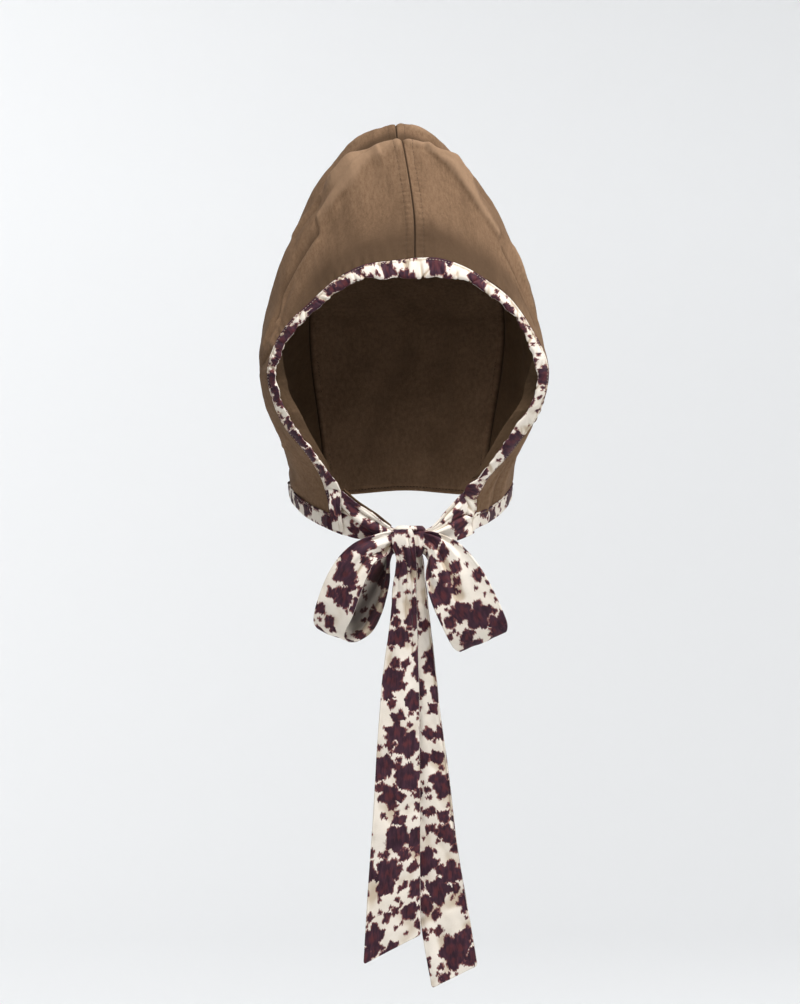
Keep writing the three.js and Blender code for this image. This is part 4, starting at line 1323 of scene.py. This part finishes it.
@dataclass
class NeckBand:
    """The printed band on the outside of the hem."""

    crown: Crown
    panel: BackPanel
    height: float = 14.0
    thickness: float = 1.3
    lift: float = 0.1
    ahead: dict[Side, float] = field(default_factory=lambda: {Side.LEFT: 12.6, Side.RIGHT: 3.2})
    forward: float = 0.36
    down: dict[Side, float] = field(default_factory=lambda: {Side.LEFT: 0.4, Side.RIGHT: 1.1})
    edge_round: float = 0.9
    top_welt: Welt = Welt(0.9, 0.9, 0.5)
    seam_groove: Welt = Welt(2.3, 0.55, -0.55)
    sliver: float = 0.05
    flat: Pair = (0.0145, 0.50)
    cloth_start: float = 1500.0

    def build(self, finishes: Wardrobe) -> None:
        """Builds and dresses the band and the stitching under its top edge."""
        form = self.crown.form
        foot, top, normal = [], [], []
        low = self.sliver
        for side in Side:
            u = np.linspace(0, 1, 150) if side is Side.LEFT else np.linspace(1, 0, 150)
            start, near = form.smooth(side, u, u * 0), form.smooth(side, u, u * 0 + low)
            share = low * self.height / np.linalg.norm(near - start, axis=1)
            out = form.outward(side, u, u * 0)
            foot.append(start + out * form.main_folds(side, u, u * 0)[:, None])
            top.append(form.smooth(side, u, share) + out * form.main_folds(side, u, share)[:, None])
            normal.append(out)
            if side is Side.LEFT:
                s = np.linspace(0, 1, 110)[1:-1]
                start, near = self.panel.smooth(s, s * 0), self.panel.smooth(s, s * 0 + low)
                share = low * self.height / np.linalg.norm(near - start, axis=1)
                foot.append(start)
                top.append(self.panel.smooth(s, share))
                back = np.zeros((len(s), 3))
                back[:, 0], back[:, 1] = (2 * s - 1) * 0.55, 1.0
                normal.append(unit(back))
        foot, top, normal = (np.concatenate(part) for part in (foot, top, normal))
        foot, top, normal = self.lengthen(foot, top, normal)
        for _ in range(6):
            normal[1:-1] = unit(normal[:-2] + 2 * normal[1:-1] + normal[2:])
        along = lengths(foot)
        c = spaced((0, 0.12, 5), (0.12, 0.72, 14), (0.72, 1.0, 10))
        from_edge = np.minimum(c, 1 - c) * self.height
        half = (self.thickness / 2) * rounded(from_edge, self.edge_round)
        middle = foot[:, None] + (top - foot)[:, None] * c[None, :, None]
        out = normal[:, None] * np.ones((1, len(c), 1))
        lift = self.lift + self.thickness / 2
        below_top = (1 - c) * self.height
        shape = (self.top_welt.rise(below_top) + self.seam_groove.rise(below_top)
                 + 0.25 * np.sin(np.pi * np.clip(c / 0.85, 0, 1)))
        pucker = (0.16 * np.sin(2 * np.pi * along / 7.0 + 2 * Waves(51, 30.0)(along, along * 0))[:, None]
                  * bell(below_top - 3.5, 3.0)[None, :])
        sway = 0.22 * Waves(52, 26.0)(along[:, None], c[None, :] * 14)
        relief = shape[None, :] + pucker + sway
        middle = middle + out * (lift + relief)[..., None]
        front, back = middle + out * half[None, :, None], middle - out * half[None, :, None]
        up = c[None, :] * self.height
        flat = pairs(along[:, None] + self.cloth_start, there_and_back(up, 2 * self.height - up))
        piece = bend_grid("neck_band_cloth", there_and_back(front, back), flat, closed=True,
                          values={"relief": there_and_back(relief, relief)})
        close_ends(piece)
        dress(piece, finishes.printed, Slot.PRINT, "neck_band")
        row = int(np.argmin(np.abs(below_top - self.seam_groove.place)))
        sewn = stitches("neck_band_stitching", [(front[:, row] + normal * 0.1, normal)],
                        pitch=2.6, length=1.8, thickness=0.36)
        dress(sewn, finishes.cream_thread, Slot.PRINT)

    def lengthen(self, foot: Array, top: Array, normal: Array) -> tuple[Array, Array, Array]:
        """Runs the band on past the crown's front edge to each tie."""
        for side, end in ((Side.LEFT, 0), (Side.RIGHT, -1)):
            x = self.ahead[side]
            steps = np.linspace(1, 0, 10)[:-1] if end == 0 else np.linspace(0, 1, 10)[1:]
            reach = np.array([-side.sign * x, -self.forward * x, -self.down[side] * x])
            ahead = reach * steps[:, None]
            parts = []
            for line in (foot, top):
                run = line[end] + ahead
                parts.append(np.concatenate([run, line] if end == 0 else [line, run]))
            same = np.repeat(normal[end][None], len(steps), axis=0)
            normal = np.concatenate([same, normal] if end == 0 else [normal, same])
            foot, top = parts
        return foot, top, normal


def close_ends(piece: bpy.types.Object) -> None:
    """Closes the open ends of a tube."""
    shape = bmesh.new()
    shape.from_mesh(piece.data)
    bmesh.ops.holes_fill(shape, edges=[edge for edge in shape.edges if edge.is_boundary], sides=0)
    bmesh.ops.recalc_face_normals(shape, faces=shape.faces)
    shape.to_mesh(piece.data)
    shape.free()


EDGES = "at ax ay az bx by bz pleat"
RIM = 2.6           # how much of a ribbon's side has the close steps, in millimetres


@dataclass
class Ribbon:
    """A flattened tube of printed cloth, from a table of its two edges a and b.

    Args:
        name: of the piece
        node: that it replaces, if there is one
        rows: the table's rows
        flat: width and length of its cloth, in metres; not used
        held: how it is held; not used
        rests_on: what it hangs from or lies on; not used
        area: the flat area in square metres, where the cut isn't a rectangle; not used
        width: of the flattened tube, in millimetres
        start: where the print starts on the cloth
        pleats: folds in its cloth, as shares of its length and width
        shadows: painted shadow where the side along its normals lies deep in a fold, with heights up to 1
        other_side_shadows: the same painted shadow for its other side
        thickness: of the tube
        along: steps along it
        across: steps across it
        seed: of its soft waves
        sway: height of its soft waves
        corner: how round its free end's corners are
        lining: it is brown cloth
        pleats_across: how many half waves the table's pleat makes over its width
        edge_roll: how far in from its edges it rounds off, in millimetres
        groove: the dent along its edges, as a seam makes it
    """

    name: str
    node: str
    rows: Sequence[Sequence[float]]
    flat: Pair
    held: Held
    rests_on: str = "bow_knot_cloth"
    area: float | None = None
    width: float = 46.0
    start: Pair = (0.0, 0.0)
    pleats: tuple[Fold, ...] = ()
    shadows: tuple[Fold, ...] = ()
    other_side_shadows: tuple[Fold, ...] = ()
    thickness: float = 1.8
    along: int = 150
    across: int = 30
    seed: int = 61
    sway: float = 0.35
    corner: float = 0.0
    lining: bool = False
    pleats_across: float = 3.0
    edge_roll: float = 1.1
    groove: Welt = Welt(2.0, 0.5, -0.16)

    def build(self, finishes: Wardrobe) -> None:
        """Builds and dresses the ribbon."""
        rows = Table(EDGES, self.rows)
        t = np.linspace(rows.at[0], rows.at[-1], self.along + 1)
        if self.corner:
            t = np.concatenate([t[:-1], np.linspace(t[-2], t[-1], 8)[1:]])
        a, b, pleat = rows.points(t, "a"), rows.points(t, "b"), rows.read(t)["pleat"]
        s = spaced((0, RIM / self.width, 6), (RIM / self.width, 1 - RIM / self.width, self.across),
                   (1 - RIM / self.width, 1, 6))
        length = lengths((a + b) / 2)
        to_corner = np.clip(self.corner - (length[-1] - length), 0, None)
        inset = self.corner - np.sqrt(np.clip(self.corner**2 - to_corner**2, 0, None))
        seen = np.linalg.norm(b - a, axis=1)
        spread = 0.5 + (s[None, :] - 0.5) * (1 - 2 * inset / seen)[:, None]
        middle = a[:, None] + (b - a)[:, None] * spread[..., None]
        middle[..., 1] += pleat[:, None] * np.sin(s * self.pleats_across * np.pi)[None, :]
        normal = grid_normals(middle)
        grid_t, grid_s = np.meshgrid(length / length[-1], s, indexing="ij")
        span = (length[-1], self.width)
        x, y = grid_t * span[0], grid_s * span[1]
        relief = self.sway * Waves(self.seed, 34.0)(x, y) + 0.10 * Waves(self.seed + 1, 11.0)(x, y)
        # Painted shadow strengths for each side of the ribbon, from its shadow folds.
        pressed, shadow, hollow_shade = (
            sum((fold.rise(grid_t, grid_s, span) for fold in folds), np.zeros(grid_t.shape))
            for folds in (self.pleats, self.shadows, self.other_side_shadows))
        relief += pressed
        front_turn = np.where(normal[..., 1:2].mean() > 0, -1.0, 1.0)
        middle = middle + normal * front_turn * relief[..., None]
        normal = grid_normals(middle)
        near = np.minimum(np.minimum(grid_s, 1 - grid_s) * span[1],
                          np.minimum(grid_t, 1 - grid_t) * span[0])
        half = (self.thickness / 2) * rounded(near, self.edge_roll) + self.groove.rise(near)
        half = np.where(near < 1e-6, 0.0, half)[..., None]
        points = there_and_back(middle + normal * half, middle - normal * half)
        for _ in range(8):
            seen[1:-1] = (seen[:-2] + 2 * seen[1:-1] + seen[2:]) / 4
        over = (s - 0.5)[None, :] * seen[:, None]
        over = there_and_back(over, self.width + over)
        flat_place = pairs(over + self.start[0], length[:, None] + self.start[1])
        values = {"relief": there_and_back(relief, relief) * 1.3,
                  "hollow_shade": np.clip(there_and_back(shadow, hollow_shade), 0, 0.9)}
        piece = bend_grid(self.name, points, flat_place, closed=True, values=values)
        if self.lining:
            # The lining takes the darker copy of the brown cloth, with painted shade.
            dress(piece, finishes.inside, Slot.FACING)
        else:
            dress(piece, finishes.printed, Slot.PRINT, *([self.node] if self.node else []))


def bow_ribbons() -> list[Ribbon]:
    """The ribbons of the ties and the bow, with the lip and the lining at the left tie."""
    return [
        Ribbon("tie_left_cloth", "tie_left", (
            (-0.1, -54.5, -78.9, -285.0, -54.0, -78, -321.5, 0),
            (0.0, -50.5, -84, -286.5, -49.8, -80.2, -322.5, 0),
            (0.33, -38, -90, -296.5, -39, -85, -325.5, 0.4),
            (0.66, -23, -93, -306.5, -24, -90, -326.5, 1),
            (1.0, -10.8, -94, -316, -10.8, -94, -327, 1.4),
            (1.2, -3.5, -94.5, -318.5, -3.5, -94.5, -326.5, 1.2)),
            (0.040, 0.062), Held.STRETCHED, area=0.0019,
            pleats=(
                Fold(((0.0, 0.30), (0.30, 0.42), (0.62, 0.62), (0.95, 0.72)), 2.2, 2.4, 0.7),
                Fold(((0.02, 0.36), (0.32, 0.50), (0.62, 0.70)), 2.6, -1.8),
                Fold(((0.40, 0.10), (0.95, 0.18)), 1.8, 1.2),
                Fold(((0.35, 0.17), (0.95, 0.30)), 1.8, -1.2)),
            along=90, across=60, seed=61),
        Ribbon("tie_left_lip", "", (
            (-0.4, -67.5, -79.0, -273, -63.5, -80.5, -273, 0),
            (0.0, -62.5, -82.6, -287.0, -53.4, -85.6, -287.5, 0),
            (0.3, -62.4, -84.2, -298, -52.6, -86.8, -299, 0),
            (0.7, -60.5, -82.4, -309, -51.2, -85.6, -310.5, 0),
            (1.0, -59.5, -80.6, -317.5, -50.2, -83.8, -320.8, 0)),
            (0.0105, 0.050), Held.FOLDED, "tie_left_cloth", width=10, start=(10, 120),
            pleats=(Fold(((0.0, 0.62), (1.0, 0.62)), 0.7, -0.5),), thickness=1.5,
            along=60, across=16, seed=75, sway=0.15),
        Ribbon("tie_left_lining", "", (
            (0.0, -50.0, -81.6, -283.6, -50.0, -80.6, -294.0, 0),
            (0.33, -37.2, -87.2, -294.4, -38.0, -85.2, -305.0, 0),
            (0.66, -22.2, -90.2, -304.6, -23.0, -88.6, -315.0, 0),
            (1.0, -10.4, -91.6, -314.0, -10.8, -90.6, -323.0, 0)),
            (0.0115, 0.052), Held.FOLDED, "tie_left_cloth", width=11, start=(0, 40),
            thickness=1.2, along=50, across=10, seed=77, sway=0.2, lining=True),
        Ribbon("tie_right_cloth", "tie_right", (
            (-0.12, 51.8, -79, -286.5, 58.0, -73.6, -321.0, 0),
            (0.0, 47.8, -84, -288, 55.4, -76.8, -322.3, 0),
            (0.33, 37, -90, -300, 44, -86, -327, 0.4),
            (0.66, 27, -93, -311.5, 31.5, -91, -327, 1),
            (1.0, 19.1, -94, -317.5, 19.1, -94, -327, 1.4),
            (1.3, 8, -94.5, -319, 8, -94.5, -326.5, 1.2)),
            (0.036, 0.056), Held.STRETCHED, area=0.0016, start=(140, 40),
            pleats=(
                Fold(((0.0, 0.62), (0.30, 0.52), (0.62, 0.50), (0.95, 0.52)), 2.0, 2.2, -0.7),
                Fold(((0.0, 0.54), (0.30, 0.44), (0.65, 0.42)), 2.2, -1.8),
                Fold(((0.20, 0.22), (0.95, 0.22)), 1.6, 1.3),
                Fold(((0.10, 0.12), (0.95, 0.12)), 1.4, -1.1)),
            along=90, across=60, seed=63),
        Ribbon("bow_loop_left_cloth", "bow_loop_left", (
            (-0.06, -3.5, -99, -320, -3.5, -99, -331, 0.8),
            (0.00, -10.8, -101, -319, -10.8, -101, -334, 1.2),
            (0.10, -22.5, -104, -321.5, -15, -104, -339.5, 1.5),
            (0.22, -43, -107, -330, -25.5, -109, -347, 1),
            (0.34, -59.5, -107, -348.5, -34.5, -111, -367.5, 0.5),
            (0.43, -70, -105, -372, -42, -109, -388.5, 0),
            (0.50, -74.5, -100, -392.5, -49, -103, -405.5, 0),
            (0.56, -68, -94, -400, -40.5, -95, -410.5, 0),
            (0.66, -59, -89, -383, -27.5, -87, -403.5, 0),
            (0.78, -46, -87, -362.5, -17.5, -85, -385, 0.5),
            (0.90, -28, -87, -343.5, -11.5, -86, -361, 0.8),
            (1.00, -10.8, -90, -333, -10.2, -90, -340, 0.5),
            (1.06, -4, -92, -331, -4, -92, -337, 0.4)),
            (0.046, 0.21), Held.FOLDED, area=0.0066, start=(20, 300),
            pleats=(
                Fold(((0.02, 0.55), (0.12, 0.45), (0.26, 0.42)), 2.6, 1.8, 0.5),
                Fold(((0.02, 0.80), (0.14, 0.72), (0.24, 0.70)), 2.4, -1.4),
                Fold(((0.62, 0.90), (0.80, 0.90), (0.98, 0.88)), 4.5, -4.6),
                Fold(((0.62, 0.66), (0.80, 0.66), (0.98, 0.62)), 6.0, 4.0)),
            along=190, across=44, seed=65,
            shadows=(Fold(((0.66, 0.50), (0.80, 0.56), (1.0, 0.50)), 12.0, 0.88, -0.3),)),
        Ribbon("bow_loop_right_cloth", "bow_loop_right", (
            (-0.06, 11, -99, -320, 11, -99, -331, 0.8),
            (0.00, 19.1, -101, -319, 19.1, -101, -335, 1.2),
            (0.10, 30, -104, -321.5, 20, -104, -343, 1.6),
            (0.22, 45.5, -107, -329, 18, -108, -358.5, 1.6),
            (0.34, 61, -108, -346, 22.5, -110, -377, 1),
            (0.43, 73.5, -106, -367.5, 30.5, -108, -396, 0.5),
            (0.50, 85, -100, -394, 40.5, -102, -415, 0),
            (0.56, 83.5, -94, -401.5, 46.5, -95, -418, 0),
            (0.66, 72.5, -89, -385, 39.5, -88, -404, 0),
            (0.78, 58, -87, -363.5, 30.5, -86, -381, 0.5),
            (0.90, 38, -87, -343, 24, -86, -355, 0.8),
            (1.00, 19.1, -90, -333, 18.6, -90, -339.5, 0.5),
            (1.06, 12, -92, -331, 12, -92, -337, 0.4)),
            (0.046, 0.22), Held.FOLDED, area=0.0080, start=(180, 300),
            pleats=(
                Fold(((0.02, 0.25), (0.10, 0.22), (0.17, 0.24)), 3.2, 2.9, -0.4),
                Fold(((0.03, 0.48), (0.10, 0.46), (0.20, 0.52), (0.30, 0.58)), 3.4, -2.9, 0.4),
                Fold(((0.03, 0.74), (0.10, 0.74), (0.18, 0.80)), 3.2, 2.6, 0.4),
                Fold(((0.10, 0.92), (0.22, 0.93)), 2.0, -1.3)),
            along=190, across=44, seed=67,
            other_side_shadows=(Fold(((0.03, 0.47), (0.09, 0.46), (0.20, 0.52)), 3.4, 0.9),
                     Fold(((0.02, 0.62), (0.06, 0.64)), 1.6, 0.5)),
            shadows=(Fold(((0.80, 0.5), (1.0, 0.5)), 14.0, 0.7),)),
        Ribbon("tie_tail_left_cloth", "tie_tail_left", (
            (-0.090, -7.5, -103.4, -317.3, 6.2, -104.6, -317.0, 0.0),
            (-0.070, -9.8, -104.6, -321.5, 8.0, -105.8, -321.5, 0.0),
            (-0.035, -9.4, -104.4, -331, 9.4, -105.6, -331, 0.3),
            (0.00, -6.6, -103.0, -341, 10.4, -103.4, -341, 0.8),
            (0.03, -7.2, -101.2, -350.0, 10.5, -101.2, -350.0, 1.2),
            (0.06, -8.5, -100.2, -359.5, 10.5, -100.2, -359.5, 1.4),
            (0.16, -11.5, -99.5, -392.5, 11, -99, -392.5, 1),
            (0.30, -18, -100, -442, 12.5, -98.5, -442, 0.6),
            (0.46, -22, -101, -494, 13, -98.5, -494, 0.3),
            (0.65, -26, -101, -559, 13.5, -98.5, -555, 0),
            (0.83, -30.5, -100, -625, 13.5, -98.5, -611, 0),
            (1.00, -33.5, -99.5, -676.5, 14, -98.5, -652, 0)),
            (0.046, 0.345), Held.HUNG, area=0.0118, start=(0, 700),
            pleats=(
                Fold(((0.05, 0.44), (0.10, 0.56), (0.25, 0.60)), 2.6, -1.0),
                Fold(((0.02, 0.70), (0.12, 0.80), (0.30, 0.82)), 1.6, -0.9),
                Fold(((0.03, 0.26), (0.12, 0.32), (0.30, 0.30)), 3.6, 0.7)),
            along=250, across=30, seed=69, sway=0.5, corner=2.4),
        Ribbon("tie_tail_right_cloth", "tie_tail_right", (
            (-0.03, 1.5, -93, -333, 13.5, -93, -333, 1.4),
            (0.00, 1, -92.5, -341, 15.5, -92.5, -341, 1.6),
            (0.10, -1, -92.5, -376, 19.5, -92.5, -376, 1.2),
            (0.21, -1.5, -92, -415.5, 24, -92.5, -415.5, 0.8),
            (0.37, 0, -91.5, -471, 30.5, -92.5, -471, 0.4),
            (0.51, 3.5, -91, -519, 37, -92.5, -518, 0),
            (0.70, 8.5, -91, -589, 44.5, -92, -581, 0),
            (0.86, 14.5, -91.5, -648, 53.5, -92, -634, 0),
            (1.00, 23, -92, -697.5, 61, -92, -678.5, 0)),
            (0.046, 0.365), Held.HUNG, area=0.0118, start=(180, 700),
            pleats=(
                Fold(((0.0, 0.40), (0.12, 0.42), (0.25, 0.45)), 3.2, 0.9),
                Fold(((0.0, 0.92), (0.30, 0.93), (0.70, 0.94)), 1.5, -0.7)),
            along=230, across=28, seed=71, sway=0.5, corner=2.4),
    ]


@dataclass
class BowKnot:
    """The wrap in the middle of the bow."""

    depth: float = -95.0
    squareness: float = 2.8
    sides: int = 96
    strap: Pair = (-10.0, 18.0)
    print_radius: float = 12.0
    print_height: float = 26.0
    print_start: Pair = (300.0, 120.0)
    rings: Table = field(default_factory=lambda: Table("z left right deep", (
        (-340.4, -5, 13, 6.5), (-338.5, -7, 15, 8.5), (-334.5, -9.2, 17, 10), (-329, -10.2, 18.3, 10.8),
        (-322.5, -10.2, 18.5, 10.5), (-317.5, -9, 18, 9), (-314.6, -5, 15.5, 5.5))))
    fill: float = 0.7

    def build(self, finishes: Wardrobe) -> None:
        """Builds and dresses the knot."""
        low, high = self.rings.at[0], self.rings.at[-1]
        z = np.linspace(low, high, 61)
        found = self.rings.read(z)
        angle = np.linspace(0, 2 * np.pi, self.sides + 1)
        cos, sin = np.cos(angle)[None, :], np.sin(angle)[None, :]
        n = self.squareness
        reach = (np.abs(cos) ** n + np.abs(sin) ** n) ** (-1 / n)
        half = ((found["right"] - found["left"]) / 2)[:, None]
        x = ((found["left"] + found["right"]) / 2)[:, None] + half * reach * cos
        y = self.depth + found["deep"][:, None] * reach * sin
        front = np.clip(-sin, 0, 1)
        share = ((z - low) / (high - low))[:, None]
        across = (x - self.strap[0]) / (self.strap[1] - self.strap[0])
        slant = 0.05 * share
        folds = (0.8 * bell(across - 0.86 + slant, 0.05) - 0.8 * bell(across - 0.78 + slant, 0.03)
                 + 1.8 * bell(share - 0.93, 0.06) - 0.9 * bell(share - 0.83, 0.03))
        behind_strap = 1.4 * np.clip((0.74 - across) / 0.04, 0, 1) * np.clip((0.84 - share) / 0.05, 0, 1)
        y = y - front * (folds - behind_strap)
        points = np.stack([x, y, np.broadcast_to(z[:, None], x.shape)], -1)
        foot, top = (np.broadcast_to(end.mean(axis=0), end.shape)[None] for end in (points[0], points[-1]))
        points = np.concatenate([foot, points, top - np.array([0, 0, 1.5])])
        rows = np.arange(len(points))[:, None] * (self.print_height / (len(points) - 1))
        flat = pairs(angle[None, :] * self.print_radius + self.print_start[0], rows + self.print_start[1])
        dip = front * folds
        values = {"relief": np.concatenate([dip[:1], dip, dip[-1:]])}
        piece = bend_grid("bow_knot_cloth", points, flat, closed=True, values=values)
        dress(piece, finishes.printed, Slot.PRINT, "bow_knot")


@dataclass(frozen=True)
class SoftLight:
    """A square soft light that faces a point, in metres and watts."""

    name: str
    place: Triple
    size: float
    power: float
    at: Triple = (0, 0, -0.3)

    def build(self) -> None:
        """Puts the light in the scene."""
        lamp = bpy.data.lights.new(self.name, "AREA")
        lamp.shape, lamp.size, lamp.energy = "SQUARE", self.size, self.power
        holder = bpy.data.objects.new(self.name, lamp)
        holder.location = self.place
        aim = Vector(self.at) - Vector(self.place)
        holder.rotation_euler = aim.to_track_quat("-Z", "Y").to_euler()
        bpy.context.scene.collection.objects.link(holder)


@dataclass
class Studio:
    """The plain backdrop, the soft lights and the camera."""

    floor: float = -1.05
    width: float = 14.0
    sweep_start: float = 2.4
    sweep_radius: float = 1.4
    wall_height: float = 4.0
    near: float = -6.0
    camera_place: Triple = (-0.0033, -2.385, -0.295)
    lens: float = 99.36
    sky: float = 0.10
    lights: tuple[SoftLight, ...] = (
        SoftLight("key", (0.3, -1.1, 2.35), 0.6, 92),
        SoftLight("right_side", (2.0, -0.7, 1.1), 1.0, 34),
        SoftLight("fill", (-1.4, -2.4, 0.7), 1.4, 14),
        SoftLight("wall_left", (-2.0, 1.6, 1.0), 1.6, 31, at=(-1.2, 3.8, 0.1)),
        SoftLight("wall_right", (2.0, 1.6, 0.4), 1.6, 10.5, at=(1.0, 3.8, -0.3)),
        SoftLight("far_left", (-3.2, 1.0, 2.6), 2.5, 12, at=(-4.0, 2.0, -1.0)),
        SoftLight("far_right", (3.2, 1.0, 2.6), 2.5, 12, at=(4.0, 2.0, -1.0)))

    def backdrop(self) -> None:
        """A floor that curves up into a wall."""
        shape = bmesh.new()
        start = shape.verts.new((-self.width / 2, self.near, self.floor))
        end = shape.verts.new((self.width / 2, self.near, self.floor))
        edge = shape.edges.new((start, end))
        made = bmesh.ops.extrude_edge_only(shape, edges=[edge])
        self.shift(shape, made, (0, self.sweep_start - self.near, 0))
        last = [part for part in made["geom"] if isinstance(part, bmesh.types.BMEdge)
                and all(abs(vert.co.y - self.sweep_start) < 1e-6 for vert in part.verts)]
        made = bmesh.ops.spin(shape, geom=last + list({v for e in last for v in e.verts}),
                              cent=(0, self.sweep_start, self.floor + self.sweep_radius),
                              axis=(1, 0, 0), angle=math.pi / 2, steps=24, use_merge=False)
        last = [part for part in made["geom_last"] if isinstance(part, bmesh.types.BMEdge)]
        made = bmesh.ops.extrude_edge_only(shape, edges=last)
        self.shift(shape, made, (0, 0, self.wall_height))
        mesh = bpy.data.meshes.new("backdrop")
        shape.to_mesh(mesh)
        shape.free()
        piece = mesh_object("backdrop", mesh)
        piece.data.materials.append(PlainBackdrop("plain_backdrop").make())

    @staticmethod
    def shift(shape: bmesh.types.BMesh, made: dict[str, list], by: Triple) -> None:
        """Moves the vertices that an extrusion made."""
        verts = [part for part in made["geom"] if isinstance(part, bmesh.types.BMVert)]
        bmesh.ops.translate(shape, verts=verts, vec=by)

    def build(self) -> None:
        """Sets up the backdrop, the lights, the sky and the camera."""
        self.backdrop()
        for light in self.lights:
            light.build()
        self.surroundings()
        bpy.context.scene.view_settings.view_transform = "Standard"
        eye = bpy.data.cameras.new("camera")
        eye.sensor_fit, eye.sensor_width, eye.lens = "AUTO", 36.0, self.lens
        eye.clip_start, eye.clip_end = 0.05, 50.0
        holder = bpy.data.objects.new("camera", eye)
        holder.location = self.camera_place
        holder.rotation_euler = (math.pi / 2, 0, 0)
        bpy.context.scene.collection.objects.link(holder)
        bpy.context.scene.camera = holder

    def surroundings(self) -> None:
        """A faint sky that lights the hood, and a pale one that the camera sees past the backdrop."""
        world = bpy.data.worlds.new("studio")
        world.use_nodes = True
        tree = world.node_tree
        sky = tree.nodes["Background"]
        sky.inputs["Color"].default_value = (0.99, 0.995, 1.0, 1.0)
        sky.inputs["Strength"].default_value = self.sky
        seen = tree.nodes.new("ShaderNodeBackground")
        seen.inputs["Color"].default_value = (0.80, 0.81, 0.82, 1.0)
        ray, pick = tree.nodes.new("ShaderNodeLightPath"), tree.nodes.new("ShaderNodeMixShader")
        tree.links.new(ray.outputs["Is Camera Ray"], pick.inputs[0])
        tree.links.new(sky.outputs[0], pick.inputs[1])
        tree.links.new(seen.outputs[0], pick.inputs[2])
        tree.links.new(pick.outputs[0], tree.nodes["World Output"].inputs["Surface"])
        bpy.context.scene.world = world


def main() -> None:
    """Builds every part of the hood and the studio round it."""
    logging.basicConfig(level=logging.INFO)
    finishes = Wardrobe()
    form = CrownForm()
    crown, panel = Crown(form), BackPanel(form)
    crown.build(finishes)
    panel.build(finishes)
    Casing(form).build(finishes)
    Facings(form).build(finishes)
    NeckBand(crown, panel).build(finishes)
    for ribbon in bow_ribbons():
        ribbon.build(finishes)
    BowKnot().build(finishes)
    Studio().build()


if __name__ == "__main__":
    main()
